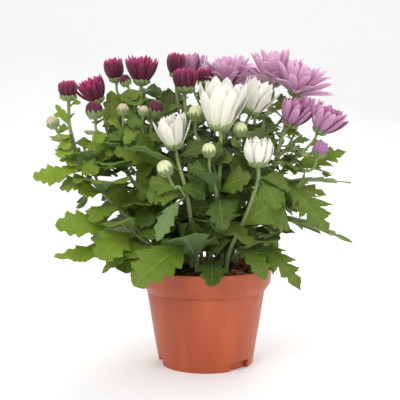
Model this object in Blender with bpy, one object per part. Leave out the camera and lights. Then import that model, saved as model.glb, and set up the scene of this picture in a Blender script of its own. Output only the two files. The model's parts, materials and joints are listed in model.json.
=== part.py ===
"""A potted chrysanthemum: burgundy, white and lilac plants together in one 12 cm pot.

The layout is in millimetres with +Z up, the front at -Y and the origin under the
middle of the pot's foot. Meshes are made in metres.
"""

import math
from collections import namedtuple

import bmesh
import bpy
import numpy as np
from mathutils.bvhtree import BVHTree

METRES = 0.001
CLEARANCE = 0.3
FLAT = math.radians(1)

# Pot, a thin-walled 12 cm grower's pot
POT_HEIGHT = 86.9
POT_SIDES = 24
RIM_RADIUS = 60.0
RIM_FOOT_HEIGHT = 73.0
RIM_FOOT_RADIUS = 58.5
NECK_HEIGHT = 65.3
NECK_RADIUS = 53.2
BASE_RADIUS = 42.9
WALL = 1.8
FLOOR = 3.0
CORNER_HEIGHT = 13.0
CORNER_INSET = 6.5
NOTCH_ANGLES = (43.0, 163.0, 283.0)
NOTCH_SPAN = 30.0
NOTCH_HEIGHT = 8.0
NOTCH_DEPTH = 4.0
DRAIN_COUNT = 4
DRAIN_RING = 24.0
DRAIN_RADIUS = 3.5

# Soil
SOIL_EDGE = 79.0
SOIL_CROWN = 88.0
SOIL_DOME = 54.0
SOIL_LUMP = 1.1
SOIL_LIP = 2.5
SOIL_GAP = 0.45
SOIL_RINGS = (38.0, 16.0)
SOIL_SIDES = POT_SIDES
ROOT_DEPTH = 14.0
ROOT_COLLAR = 8.0
HOLE_GAP = 0.75
HOLE_ABOVE = 12.0

# Stems
MAIN_RADII = (2.1, 1.45)
MAIN_SIDES = 5
SIDE_RADII = (1.35, 1.1)
SIDE_SIDES = 4
NECK_LENGTH = 12.0

# Leaves
BLADE = 0.9
EDGE = 0.6
STALK = 1.5
LEAF_FOLD = math.radians(14)
LEAF_STEP = 45.5
LEAF_TURN = math.radians(144)
LOWEST_LEAF = 98.0
LEAF_LONG = 66.0
LEAF_SHORTENS = 0.2
LEAF_SHORTEST = 15.0
SMALL_LEAF = 24.0
LEAF_PLUMP = 0.37
LEAF_ARCH = 0.09
LEAF_RISES = (0.5, -0.3, 0.2, -0.55, 0.35)
SIDE_SHARE = 0.62
SHOOT_TURN = 2.1
LEAF_SHRINKS = (1.0, 0.86, 0.72)
LEAF_LIFTS = (0, 12, -12, 24, -24, 36)
LEAF_TURNS = (0, 13, -13, 26, -26, 39, -39, 60, -60)

# Green cups, buds and cores
CUP_SIDES = 6
CUP_RIM = 1.1
CUP_DEPTH = 1.4
RIM_POINT = 0.22
BUD_SIDES = 8
BUD_RIDGE = 0.08
CORE_RISE = 1.15
CORE_WIDTH = 0.84
CORE_ROUND = 1.2
MOUTH_INSET = 1.7
MOUTH_RISE = 0.7

# Petals
PETAL_THICK = 1.0
PETAL_CUP = 0.22
PETAL_CROWD = 0.94
PETAL_SHARES = {1: (0.62,), 2: (0.42, 0.8)}
WIDEST = 0.62
PETAL_SHRINKS = (1.0, 0.86, 0.72, 0.58)
PETAL_LEANS = (0, -8, 8, -16, 16, -24)
TOUCHING = 0.02

Shoot = namedtuple("Shoot", "name parent fork via")
Head = namedtuple("Head", "name colour kind base axis cup size")
Form = namedtuple("Form", "petals layers")
Layer = namedtuple("Layer", "length start end width stations")
Petal = namedtuple("Petal", "base axis turn radius height length start end width stations crowd")
Leaf = namedtuple("Leaf", "root tip facing width arch kind")
Chosen = namedtuple("Chosen", "shoot height tip width facing arch kind")

# Flower heads and buds: name, colour, kind, base of the green cup, way it faces, cup radius, petal length
HEADS = (
    Head("burgundy_1", "burgundy", "brush", (-121, -10, 235), (0.0, -0.1, 1.0), 7.0, 8.5),
    Head("burgundy_2", "burgundy", "cup", (-96, 0, 233.4), (-0.35, -0.25, 0.9), 6.5, 17.5),
    Head("burgundy_3", "burgundy", "bud", (-95.4, -25, 218.4), (-0.1, -0.1, 1.0), 6.2, 7.4),
    Head("burgundy_4", "burgundy", "brush", (-82.2, 20, 254), (-0.14, -0.1, 1.0), 6.2, 15),
    Head("burgundy_5", "burgundy", "cup", (-58, 5, 250.4), (0.05, -0.15, 1.0), 7.4, 18),
    Head("burgundy_6", "burgundy", "bud", (-69.8, -3, 248.7), (-0.4, -0.2, 0.9), 4.2, 5.0),
    Head("burgundy_7", "burgundy", "brush", (-28, 40, 260.8), (0.0, -0.1, 1.0), 6.0, 16),
    Head("burgundy_8", "burgundy", "brush", (-18.6, 0, 242.3), (0.0, -0.1, 1.0), 8.6, 11.5),
    Head("burgundy_9", "burgundy", "brush", (-1, 22, 250.6), (0.0, 0.0, 1.0), 6.2, 8.5),
    Head("burgundy_10", "burgundy", "bud", (-45, -22, 220.7), (0.25, -0.2, 0.95), 5.6, 6.8),
    Head("burgundy_11", "burgundy", "cup", (-62, 60, 256), (-0.1, 0.35, 0.93), 6.4, 14),
    Head("burgundy_12", "burgundy", "brush", (-22, 74, 252), (-0.05, 0.3, 0.95), 6.2, 13),
    Head("white_1", "white", "crown", (-25.4, -52, 191.5), (-0.2, -0.1, 0.97), 7.4, 21),
    Head("white_2", "white", "crown", (12, -46, 207), (0.0, -0.05, 1.0), 8.4, 36),
    Head("white_3", "white", "crown", (38.5, -16, 222), (0.36, -0.1, 0.93), 7.4, 24),
    Head("white_4", "white", "egg", (42.5, -57, 177.4), (0.0, -0.1, 1.0), 7.8, 15.5),
    Head("white_5", "white", "crown", (9, 94, 221), (-0.05, 0.5, 0.86), 7.0, 20),
    Head("white_6", "white", "crown", (35, 88, 231), (0.1, 0.5, 0.86), 6.6, 18),
    Head("lilac_1", "lilac", "open", (20, 40, 250), (-0.02, -0.25, 0.96), 7.0, 27),
    Head("lilac_2", "lilac", "vase", (-12, 64, 260.5), (-0.1, 0.05, 1.0), 6.0, 21),
    Head("lilac_3", "lilac", "open", (63, 34, 251), (0.0, -0.2, 0.98), 7.4, 31),
    Head("lilac_4", "lilac", "open", (80, 6, 240), (0.32, -0.25, 0.9), 7.4, 27.5),
    Head("lilac_5", "lilac", "vase", (72.5, -10, 212.5), (0.42, -0.3, 0.86), 6.4, 20),
    Head("lilac_6", "lilac", "vase", (98, -15, 206.2), (0.5, -0.25, 0.83), 6.4, 21.5),
    Head("lilac_7", "lilac", "bud", (96.3, -25, 186), (0.3, -0.2, 0.9), 5.4, 6.6),
    Head("lilac_8", "lilac", "open", (51, 86, 248), (0.0, 0.35, 0.93), 7.0, 25),
    Head("lilac_9", "lilac", "vase", (94, 72, 222), (0.35, 0.4, 0.85), 6.4, 18),
    Head("green_1", "green", "bud", (-130.8, -20, 210.6), (-0.45, -0.1, 0.9), 4.4, 5.4),
    Head("green_2", "green", "bud", (-71, -30, 221.5), (0.0, -0.1, 1.0), 3.9, 4.7),
    Head("green_3", "green", "bud", (-53.8, -31, 220.6), (0.1, -0.1, 1.0), 3.5, 4.2),
    Head("green_4", "green", "bud", (-31, -67, 171), (-0.4, -0.25, 0.87), 5.2, 6.3),
    Head("green_5", "green", "bud", (2.3, -61, 185.6), (-0.05, -0.1, 1.0), 4.6, 5.5),
    Head("green_6", "green", "bud", (-8.6, -32, 216.3), (0.0, -0.15, 1.0), 5.4, 6.5),
    Head("green_7", "green", "bud", (28.4, -41, 203), (0.0, -0.15, 1.0), 4.8, 5.8),
    Head("green_8", "green", "bud", (-86, 60, 192), (-0.5, 0.4, 0.8), 4.6, 5.6),
)

# Shoots: a rooted one gives its place in the soil, a side one its parent and the height of its fork
SHOOTS = (
    Shoot("burgundy_1", None, (-26, -4), [(-34, -8, 108), (-60, -12, 126), (-84, -14, 147),
                                          (-108, -18, 175), (-115, -16, 195), (-120, -13, 214)]),
    Shoot("green_1", "burgundy_1", 174, [(-120, -21, 189)]),
    Shoot("tuft", "burgundy_1", 157, [(-101, -8, 176), (-108, -5, 192), (-109, -5, 203)]),
    Shoot("burgundy_2", None, (-17, 5), [(-24, 6, 112), (-48, 5, 140), (-72, 3, 172), (-87, 1, 204)]),
    Shoot("burgundy_3", "burgundy_2", 182, [(-86, -12, 195)]),
    Shoot("green_2", "burgundy_2", 168, [(-73, -16, 188)]),
    Shoot("burgundy_10", None, (-13, -12), [(-18, -15, 112), (-32, -18, 150), (-44, -20, 186)]),
    Shoot("green_3", "burgundy_10", 176, [(-50, -27, 194)]),
    Shoot("burgundy_5", None, (-14, 17), [(-20, 18, 116), (-37, 16, 160), (-54, 11, 204)]),
    Shoot("burgundy_4", "burgundy_5", 186, [(-65, 18, 211)]),
    Shoot("burgundy_6", "burgundy_5", 208, [(-62, 3, 224)]),
    Shoot("burgundy_8", None, (-4, 5), [(-8, 5, 132), (-14, 3, 180)]),
    Shoot("burgundy_7", "burgundy_8", 168, [(-21, 22, 202)]),
    Shoot("burgundy_9", "burgundy_8", 192, [(-9, 14, 216)]),
    Shoot("white_1", None, (-8, -25), [(-9, -30, 110), (-13, -45, 134), (-16, -58, 155)]),
    Shoot("green_4", "white_1", 150, [(-22, -65, 161)]),
    Shoot("white_2", None, (4, -17), [(5, -25, 112), (9, -38, 145), (11.5, -44, 175)]),
    Shoot("green_5", "white_2", 144, [(8, -54, 157)]),
    Shoot("green_6", "white_2", 166, [(2, -37, 187)]),
    Shoot("white_3", None, (14, -5), [(18, -8, 115), (28, -13, 160), (35, -15, 190)]),
    Shoot("green_7", "white_3", 168, [(31, -28, 180)]),
    Shoot("white_4", None, (18, -23), [(21, -33, 106), (27, -46, 122), (35, -54, 142)]),
    Shoot("lilac_1", None, (4, 17), [(7, 24, 120), (12, 33, 176), (19, 41, 214)]),
    Shoot("lilac_2", "lilac_1", 166, [(8, 48, 204)]),
    Shoot("lilac_3", None, (18, 9), [(24, 12, 116), (38, 19, 166), (52, 28, 208)]),
    Shoot("lilac_4", "lilac_3", 178, [(56, 15, 202)]),
    Shoot("lilac_5", None, (27, -6), [(33, -5, 110), (49, -6, 145), (61, -7, 178)]),
    Shoot("lilac_6", "lilac_5", 158, [(72, -11, 178)]),
    Shoot("lilac_7", "lilac_6", 176, [(83, -20, 173)]),
    Shoot("burgundy_12", None, (-12, 28), [(-16, 38, 116), (-22, 54, 155), (-24, 66, 202)]),
    Shoot("burgundy_11", "burgundy_12", 140, [(-34, 57, 168), (-52, 60, 214)]),
    Shoot("green_8", "burgundy_11", 170, [(-62, 60, 180)]),
    Shoot("white_5", None, (2, 35), [(4, 50, 118), (6, 70, 155), (7, 84, 182)]),
    Shoot("white_6", "white_5", 140, [(20, 74, 164)]),
    Shoot("lilac_8", None, (25, 26), [(33, 36, 115), (44, 54, 150), (48, 74, 196)]),
    Shoot("lilac_9", "lilac_8", 142, [(62, 60, 172), (82, 68, 196)]),
    Shoot("shoot_left", None, (-32, -18), [(-42, -21, 104), (-58, -23, 116), (-76, -23, 128)]),
    Shoot("shoot_back", None, (-30, 22), [(-42, 32, 106), (-62, 44, 126), (-80, 54, 146)]),
)

# Leaves that the front shows one by one: shoot, height on it, tip, half width, way it faces, arch, kind
CHOSEN_LEAVES = (
    Chosen("burgundy_1", 174, (-150, -24, 168), 12.0, (0.1, -0.85, 0.5), -2, "large"),
    Chosen("burgundy_1", 212, (-131, -17, 231), 4.0, (0.3, -1.0, 0.2), 1, "small"),
    Chosen("burgundy_1", 184, (-127, -24, 182), 4.0, (0.0, -0.6, 0.8), 1, "small"),
    Chosen("shoot_left", 125, (-127, -46, 128), 14.5, (0.1, -0.85, 0.5), 3, "large"),
    Chosen("shoot_left", 118, (-127, -50, 102), 11.5, (-0.1, -0.75, 0.65), -8, "large"),
    Chosen("burgundy_2", 140, (-84, -34, 152), 11.0, (0.0, -0.9, 0.4), 2, "large"),
    Chosen("white_1", 113, (-58, -82, 83), 22.0, (-0.2, -0.9, 0.45), 8, "large"),
    Chosen("shoot_left", 106, (-88, -44, 87), 8.5, (-0.3, -0.5, 0.8), 8, "large"),
    Chosen("white_1", 153, (-39, -84, 119), 9.5, (0.35, 0.85, -0.2), -9, "large"),
    Chosen("white_2", 150, (13, -88, 128), 13.0, (0.0, -0.7, 0.7), 8, "large"),
    Chosen("white_2", 97, (5, -77, 82), 13.5, (0.0, -0.4, 0.9), 5, "large"),
    Chosen("white_4", 106, (48, -70, 86), 12.0, (0.2, -0.5, 0.85), 9, "large"),
    Chosen("lilac_5", 106, (79, -50, 74), 16.0, (0.3, -0.7, 0.65), 13, "large"),
    Chosen("lilac_5", 136, (126, -32, 112), 12.0, (0.1, -0.35, 0.93), 3, "large"),
    Chosen("lilac_6", 167, (102, -52, 121), 19.0, (0.4, -0.85, 0.35), 7, "large"),
    Chosen("lilac_6", 171, (126, 0, 190), 12.0, (-0.3, -0.9, 0.3), 4, "large"),
    Chosen("lilac_5", 162, (131, 2, 162), 9.0, (0.1, -0.4, 0.9), 3, "large"),
    Chosen("lilac_5", 118, (76, -38, 121), 9.0, (0.1, -0.7, 0.7), 4, "middle"),
    Chosen("burgundy_5", 196, (-33, 26, 246), 13.5, (0.1, -1.0, 0.15), 2, "large"),
    Chosen("burgundy_10", 168, (-58, -44, 205), 10.0, (0.3, -0.9, 0.2), 3, "large"),
    Chosen("white_4", 166, (56, -76, 143), 11.0, (0.4, -0.85, 0.3), 5, "large"),
    Chosen("burgundy_5", 214, (-86, 14, 240), 13.0, (0.1, -1.0, 0.1), 2, "middle"),
    Chosen("burgundy_10", 196, (-80, -12, 207), 9.5, (0.1, -0.85, 0.5), 3, "middle"),
    Chosen("burgundy_10", 180, (-81, -30, 190), 11.0, (0.1, -0.8, 0.55), 3, "middle"),
    Chosen("burgundy_10", 150, (-60, -48, 164), 12.0, (0.1, -0.8, 0.55), 3, "middle"),
    Chosen("burgundy_1", 168, (-124, 6, 203), 8.5, (0.1, -1.0, 0.1), 2, "middle"),
    Chosen("burgundy_2", 168, (-100, -6, 201), 9.0, (0.1, -1.0, 0.2), 2, "middle"),
    Chosen("burgundy_8", 205, (3, -8, 231), 9.0, (-0.2, -0.95, 0.2), 3, "middle"),
    Chosen("burgundy_2", 196, (-90, 14, 243), 9.0, (0.1, -1.0, 0.15), 2, "middle"),
    Chosen("lilac_6", 164, (115, 2, 150), 8.5, (0.2, -0.9, 0.4), 3, "middle"),
)

# One side of a leaf's outline: share of its length, share of its half width
OUTLINES = {
    "large": [(0.0, 0.06), (0.25, 0.07), (0.46, 0.92), (0.55, 0.68), (0.68, 1.0), (0.77, 0.62),
              (0.88, 0.52)],
    "middle": [(0.0, 0.08), (0.52, 1.0), (0.62, 0.52), (0.8, 0.76)],
    "small": [(0.0, 0.2), (0.55, 1.0)],
}
RIBS = {
    "large": [0.38, 0.55, 0.77],
    "middle": [0.45],
    "small": [0.5],
}

# Petals in a layer of each kind of head, and the layers from the outside in.
# Start and end are how far a petal leans from the axis, in degrees.
FORMS = {
    "brush": Form(7, (Layer(1.0, 28, -6, 0.18, 2), Layer(0.94, 12, -4, 0.17, 1))),
    "cup": Form(7, (Layer(1.0, 42, 0, 0.21, 2), Layer(0.95, 24, 0, 0.19, 1))),
    "egg": Form(7, (Layer(1.0, 52, -26, 0.24, 2), Layer(0.92, 36, -20, 0.22, 1))),
    "crown": Form(7, (Layer(1.0, 32, 10, 0.22, 2), Layer(0.95, 19, 4, 0.2, 1))),
    "vase": Form(8, (Layer(1.0, 44, 6, 0.18, 2), Layer(0.9, 24, 2, 0.16, 1))),
    "open": Form(9, (Layer(1.0, 54, 74, 0.14, 2), Layer(0.96, 34, 36, 0.13, 1),
                     Layer(0.8, 16, 8, 0.12, 1))),
}

COLOURS = {
    "pot": ((0.50, 0.13, 0.06), 0.45),
    "soil": ((0.025, 0.015, 0.010), 0.95),
    "stem": ((0.13, 0.22, 0.05), 0.55),
    "burgundy": ((0.16, 0.012, 0.045), 0.5),
    "white": ((0.85, 0.84, 0.76), 0.5),
    "lilac": ((0.46, 0.19, 0.42), 0.5),
    "green": ((0.52, 0.60, 0.30), 0.5),
}


# Vectors and closed meshes

def unit(vector):
    vector = np.asarray(vector, float)
    return vector / np.linalg.norm(vector)


def across(axis):
    """Two unit vectors square to the axis and to each other."""
    axis = unit(axis)
    helper = (0.0, 1.0, 0.0) if abs(axis[1]) < 0.9 else (1.0, 0.0, 0.0)
    first = unit(np.cross(helper, axis))
    return first, np.cross(axis, first)


def closed(points, triangles):
    """A closed mesh with its faces turned outwards."""
    points = np.asarray(points, float)
    triangles = np.asarray(triangles, int)
    corners = points[triangles] - points.mean(axis=0)
    if np.linalg.det(corners).sum() < 0:
        triangles = triangles[:, ::-1]
    return points, triangles


def quads_between(first, second):
    """Triangles between two rings of point numbers."""
    found = []
    for i, (a, c) in enumerate(zip(first, second)):
        b = first[(i + 1) % len(first)]
        d = second[(i + 1) % len(second)]
        found += [(a, b, d), (a, d, c)]
    return found


def turned(profile, sides, base, axis, ridge=0.0):
    """A body turned about the axis from (radius, height, lift) points that start and end on it.

    The lift raises every other column, and ridge draws every other column in by that share."""
    first, second = across(axis)
    axis = unit(axis)
    points = [base + axis * profile[0][1]]
    rings = []
    for radius, height, lift in profile[1:-1]:
        rings.append(range(len(points), len(points) + sides))
        for column in range(sides):
            angle = math.tau * column / sides
            odd = column % 2
            reach = radius * (1 - ridge * odd)
            way = first * math.cos(angle) + second * math.sin(angle)
            points.append(base + way * reach + axis * (height + lift * (1 - 2 * odd)))
    points.append(base + axis * profile[-1][1])
    triangles = []
    for column in range(sides):
        after = (column + 1) % sides
        triangles.append((0, rings[0][after], rings[0][column]))
        triangles.append((len(points) - 1, rings[-1][column], rings[-1][after]))
    for lower, upper in zip(rings, rings[1:]):
        triangles += quads_between(lower, upper)
    return closed(points, triangles)


def tube(route, radii, sides):
    """A round rod along a route, with its radius going evenly from the first to the last."""
    route = np.asarray(route, float)
    ways = np.gradient(route, axis=0)
    first = across(ways[0])[0]
    points = []
    for i, (place, way) in enumerate(zip(route, ways)):
        way = unit(way)
        first = unit(first - way * first.dot(way))
        second = np.cross(way, first)
        radius = radii[0] + (radii[1] - radii[0]) * i / (len(route) - 1)
        for side in range(sides):
            angle = math.tau * side / sides
            points.append(place + radius * (first * math.cos(angle) + second * math.sin(angle)))
    rings = [range(i * sides, (i + 1) * sides) for i in range(len(route))]
    triangles = []
    for lower, upper in zip(rings, rings[1:]):
        triangles += quads_between(lower, upper)
    for ring in (rings[0], rings[-1]):
        caps = [(ring[0], ring[i], ring[i + 1]) for i in range(1, sides - 1)]
        triangles += caps if ring is rings[-1] else [cap[::-1] for cap in caps]
    return closed(points, triangles)


def zipped(first, second):
    """Triangles between two chains of (share, number) that end at the same point."""
    i = j = 0
    found = []
    while i < len(first) - 1 or j < len(second) - 1:
        first_left = i < len(first) - 1
        second_left = j < len(second) - 1
        if first_left and (not second_left or first[i + 1][0] <= second[j + 1][0]):
            found.append((first[i][1], first[i + 1][1], second[j][1]))
            i += 1
        else:
            found.append((first[i][1], second[j + 1][1], second[j][1]))
            j += 1
    return [t for t in found if len(set(t)) == 3]


# Leaves

def leaf_place(leaf, share, offset):
    """A point of a leaf's middle surface and the surface's normal there.

    The rib arches between root and tip, and the two halves fold up from it."""
    root = np.asarray(leaf.root, float)
    tip = np.asarray(leaf.tip, float)
    along = unit(tip - root)
    facing = np.asarray(leaf.facing, float)
    up = unit(facing - along * facing.dot(along))
    middle = (root + tip) / 2 + up * 2 * leaf.arch
    rib = root * (1 - share) ** 2 + middle * 2 * share * (1 - share) + tip * share ** 2
    way = unit((middle - root) * (1 - share) + (tip - middle) * share)
    side = np.cross(along, up)
    normal = np.cross(side, way)
    place = rib + side * offset * math.cos(LEAF_FOLD) + normal * abs(offset) * math.sin(LEAF_FOLD)
    return place, normal


def leaf_solid(leaf, skip=0, spare=0.0):
    """A blade with its stalk and cut edges, thick at the rib and fine at the edge.

    skip leaves the stalk out, and spare thickens the blade."""
    outline = OUTLINES[leaf.kind][skip:]
    rib = RIBS[leaf.kind]
    upper = []
    lower = []
    for share in rib:
        place, normal = leaf_place(leaf, share, 0.0)
        upper.append(place + normal * (BLADE / 2 + spare))
        lower.append(place - normal * (BLADE / 2 + spare))
    for side in (-1, 1):
        for share, width in outline:
            stalk = share < rib[0]
            half = STALK / 2 if stalk else width * leaf.width
            place, normal = leaf_place(leaf, share, side * (half + spare))
            thick = (STALK if stalk else EDGE) / 2 + spare
            upper.append(place + normal * thick)
            lower.append(place - normal * thick)
    place, normal = leaf_place(leaf, 1.0, 0.0)
    upper.append(place + normal * (EDGE / 2 + spare))
    lower.append(place - normal * (EDGE / 2 + spare))
    count = len(upper)
    tip = (1.0, count - 1)
    middle = [(share, i) for i, share in enumerate(rib)] + [tip]
    left = [(spot[0], len(rib) + i) for i, spot in enumerate(outline)] + [tip]
    right = [(spot[0], len(rib) + len(outline) + i) for i, spot in enumerate(outline)] + [tip]
    stalk = 2 - skip
    faces = zipped(middle, left[stalk - 1:]) + [t[::-1] for t in zipped(middle, right[stalk - 1:])]
    faces.append((middle[0][1], left[stalk - 1][1], right[stalk - 1][1]))
    for i in range(stalk - 1):
        faces += [(left[i + 1][1], left[i][1], right[i][1]), (left[i + 1][1], right[i][1], right[i + 1][1])]
    edge = [number for _, number in left] + [number for _, number in reversed(right[:-1])]
    triangles = faces + [tuple(number + count for number in reversed(face)) for face in faces]
    for a, b in zip(edge, edge[1:] + edge[:1]):
        triangles += [(a, b, b + count), (a, b + count, a + count)]
    return closed(upper + lower, triangles)


def bent_leaves(leaf):
    """The leaf, then the same leaf turned, lifted and shortened step by step."""
    root = np.asarray(leaf.root, float)
    reach = np.asarray(leaf.tip, float) - root
    for share in LEAF_SHRINKS:
        for lift in LEAF_LIFTS:
            for turn in LEAF_TURNS:
                angle = math.radians(turn)
                flat = math.hypot(reach[0], reach[1])
                heading = math.atan2(reach[1], reach[0]) + angle
                climb = math.atan2(reach[2], flat) + math.radians(lift)
                length = np.linalg.norm(reach) * share
                way = np.array((math.cos(climb) * math.cos(heading),
                                math.cos(climb) * math.sin(heading), math.sin(climb)))
                yield leaf._replace(tip=root + way * length, width=leaf.width * share)


# Flower heads

def cup_height(head):
    return 0.62 * head.cup


def cup_solid(head):
    """The green cup under a head, with a pointed rim."""
    cup, height = head.cup, cup_height(head)
    profile = [(0, -1.0, 0), (0.82 * cup, 0.25 * height, 0), (cup, height, RIM_POINT * height),
               (cup - CUP_RIM, (1 - RIM_POINT) * height, 0), (0, CUP_DEPTH, 0)]
    return turned(profile, CUP_SIDES, np.asarray(head.base, float), head.axis)


def seat_profile(head):
    """The cone of a head that sits in its cup, a clearance away from it."""
    mouth = (head.cup - CUP_RIM) * math.cos(math.pi / CUP_SIDES)
    rise = (1 - RIM_POINT) * cup_height(head) - CUP_DEPTH
    bottom = CUP_DEPTH + 1.15 * CLEARANCE
    radius = mouth - 2 * CLEARANCE
    return [(0, bottom, 0), (radius, bottom + rise * radius / mouth, 0)]


def bud_solid(head):
    """A closed bud, with ridges where its petals lie over each other."""
    height = cup_height(head)
    size = head.size
    profile = seat_profile(head) + [(size, height + 0.6 * size, 0), (0.72 * size, height + 1.2 * size, 0),
                                    (0, height + 1.5 * size, 0)]
    return turned(profile, BUD_SIDES, np.asarray(head.base, float), head.axis, BUD_RIDGE)


def core_rings(head):
    """The dense middle under the petals, from its bottom point to its top point, as rings of points.

    Each ring from the mouth of the cup upwards is turned half a step from the last."""
    first, second = across(head.axis)
    axis = unit(head.axis)
    form = FORMS[head.kind]
    step = math.tau / form.petals
    profile = [(radius, height) for radius, height, _ in seat_profile(head)]
    mouth = (1 + RIM_POINT) * cup_height(head) + MOUTH_RISE
    rise = CORE_RISE * head.cup
    profile.append((head.cup - MOUTH_INSET, mouth))
    for number in range(len(form.layers)):
        share = (number + 1) / (len(form.layers) + 0.6)
        profile.append((CORE_WIDTH * head.cup * math.cos(share * CORE_ROUND), mouth + rise * share))
    profile.append((0, mouth + 1.15 * rise))
    rings = []
    for number, (radius, height) in enumerate(profile):
        turned_by = 0.5 * max(0, number - 2)
        count = form.petals if radius else 1
        rings.append([head.base + axis * height + radius * (
            first * math.cos(step * (i + turned_by)) + second * math.sin(step * (i + turned_by)))
            for i in range(count)])
    return rings


def petal_line(petal, share):
    """How far out and up a petal's middle line is, and how far it leans there."""
    start, end = math.radians(petal.start), math.radians(petal.end)
    bend = end - start if abs(end - start) > 0.01 else 0.01
    lean = start + bend * share
    radius = petal.radius + petal.length * (math.cos(start) - math.cos(lean)) / bend
    height = petal.height + petal.length * (math.sin(lean) - math.sin(start)) / bend
    return radius, height, lean


def petal_place(petal, share, offset):
    """A point of a petal's inner surface and the normal that faces the head's axis."""
    axis = unit(petal.axis)
    first, second = across(axis)
    out = first * math.cos(petal.turn) + second * math.sin(petal.turn)
    side = np.cross(axis, out)
    radius, height, lean = petal_line(petal, share)
    normal = axis * math.sin(lean) - out * math.cos(lean)
    curl = PETAL_CUP * offset * offset / petal.width
    return petal.base + out * radius + axis * height + side * offset + normal * curl, normal


def petal_half(petal, share):
    """A petal's half width: narrow at the root, rounded at the tip and clear of its neighbours."""
    if share < WIDEST:
        half = petal.width * (0.42 + 0.58 * math.sin(share / WIDEST * math.pi / 2))
    else:
        half = petal.width * math.sqrt(max(0.0, 1 - ((share - WIDEST) / (1 - WIDEST)) ** 2))
    return min(half, PETAL_CROWD * petal_line(petal, share)[0] * math.tan(math.pi / petal.crowd))


def petal_sections(petal, shares, spare=0.0):
    """Three-sided sections of a petal, flat inside and ridged outside, then its tip."""
    points = []
    for share in shares:
        half = petal_half(petal, share) + spare
        middle, normal = petal_place(petal, share, 0.0)
        points += [petal_place(petal, share, -half)[0] + normal * spare,
                   petal_place(petal, share, half)[0] + normal * spare,
                   middle - normal * (PETAL_THICK / 2 + spare)]
    points.append(petal_place(petal, 1.0, 0.0)[0])
    return points


def petal_faces(rows):
    """The sides and tip of a petal from its rows of point numbers. The last row is the tip alone."""
    found = []
    for lower, upper in zip(rows, rows[1:-1]):
        found += quads_between(lower, upper)
    last, tip = rows[-2], rows[-1][0]
    return found + [(last[i], last[(i + 1) % 3], tip) for i in range(3)]


def petal_probe(petal, spare):
    """The free part of a petal as a closed body, for finding what it would cross."""
    shares = (0.05,) + PETAL_SHARES[petal.stations]
    points = petal_sections(petal, shares, spare)
    rows = [range(3 * i, 3 * i + 3) for i in range(len(shares))] + [[3 * len(shares)]]
    return closed(points, petal_faces(rows) + [(0, 2, 1)])


def petals_of(head, rings):
    """Each petal of a head, layer by layer, with its layer and its place in it."""
    form = FORMS[head.kind]
    step = math.tau / form.petals
    base = np.asarray(head.base, float)
    axis = unit(head.axis)
    for number, layer in enumerate(form.layers):
        lower, upper = rings[2 + number][0] - base, rings[3 + number][0] - base
        middle = (lower + 2 * upper) / 3
        height = middle.dot(axis)
        radius = (np.linalg.norm(lower - axis * lower.dot(axis))
                  + 2 * np.linalg.norm(upper - axis * upper.dot(axis))) / 3
        for place in range(form.petals):
            turn = step * (place + 0.5 + 0.5 * (number + 1))
            yield number, place, Petal(base, head.axis, turn, radius, height, head.size * layer.length,
                                       layer.start, layer.end, head.size * layer.width, layer.stations,
                                       form.petals)


def bent_petals(petal):
    """The petal, then the same petal drawn in towards the axis and shortened step by step."""
    for share in PETAL_SHRINKS:
        for lean in PETAL_LEANS:
            yield petal._replace(length=petal.length * share, start=petal.start + lean / 2,
                                 end=petal.end + lean)


def bloom_solid(head, rings, petals):
    """A head in one closed body: each petal grows out of one triangle of the core."""
    form = FORMS[head.kind]
    points = [point for ring in rings for point in ring]
    numbers = []
    for ring in rings:
        begin = numbers[-1][-1] + 1 if numbers else 0
        numbers.append(list(range(begin, begin + len(ring))))
    count = form.petals
    triangles = [(0, numbers[1][(i + 1) % count], numbers[1][i]) for i in range(count)]
    triangles += quads_between(numbers[1], numbers[2])
    for layer in range(len(form.layers)):
        lower, upper = numbers[2 + layer], numbers[3 + layer]
        for i in range(count):
            after = (i + 1) % count
            triangles.append((lower[i], lower[after], upper[i]))
            root = (upper[i], upper[after], lower[after])
            petal = petals.get((layer, i))
            if petal is None:
                triangles.append(root[::-1])
                continue
            shares = PETAL_SHARES[petal.stations]
            begin = len(points)
            points += petal_sections(petal, shares)
            rows = [root] + [range(begin + 3 * k, begin + 3 * k + 3) for k in range(len(shares))]
            triangles += [face[::-1] for face in petal_faces(rows + [[len(points) - 1]])]
    top = numbers[-1][0]
    triangles += [(numbers[-2][i], numbers[-2][(i + 1) % count], top) for i in range(count)]
    return closed(points, triangles)


# Room for each blade

class Room:
    """What is placed so far, by owner, so that a new blade can be bent clear of it."""

    def __init__(self):
        self.placed = []

    def add(self, owner, solid):
        points, triangles = solid
        tree = BVHTree.FromPolygons(points.tolist(), triangles.tolist())
        self.placed.append((owner, tree, points.min(axis=0), points.max(axis=0)))

    def crossed(self, solid, owner=None):
        points, triangles = solid
        low, high = points.min(axis=0), points.max(axis=0)
        tree = BVHTree.FromPolygons(points.tolist(), triangles.tolist())
        for other, placed, least, most in self.placed:
            if other == owner or (low > most).any() or (high < least).any():
                continue
            if tree.overlap(placed):
                return True
        return False


# Shoots

def soil_height(x, y):
    """The soil's surface, domed in the middle and lumpy."""
    radius = math.hypot(x, y)
    dome = 0.5 + 0.5 * math.cos(math.pi * min(1.0, radius / SOIL_DOME))
    lumps = math.sin(0.31 * x + 1.3) * math.cos(0.27 * y - 0.6) + 0.6 * math.sin(0.17 * (x - 2 * y))
    return SOIL_EDGE + (SOIL_CROWN - SOIL_EDGE) * dome + SOIL_LUMP * lumps


def at_height(route, height):
    """Where a route first reaches a height."""
    for low, high in zip(route, route[1:]):
        if low[2] <= height <= high[2]:
            return low + (high - low) * (height - low[2]) / (high[2] - low[2])
    return route[-1]


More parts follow.
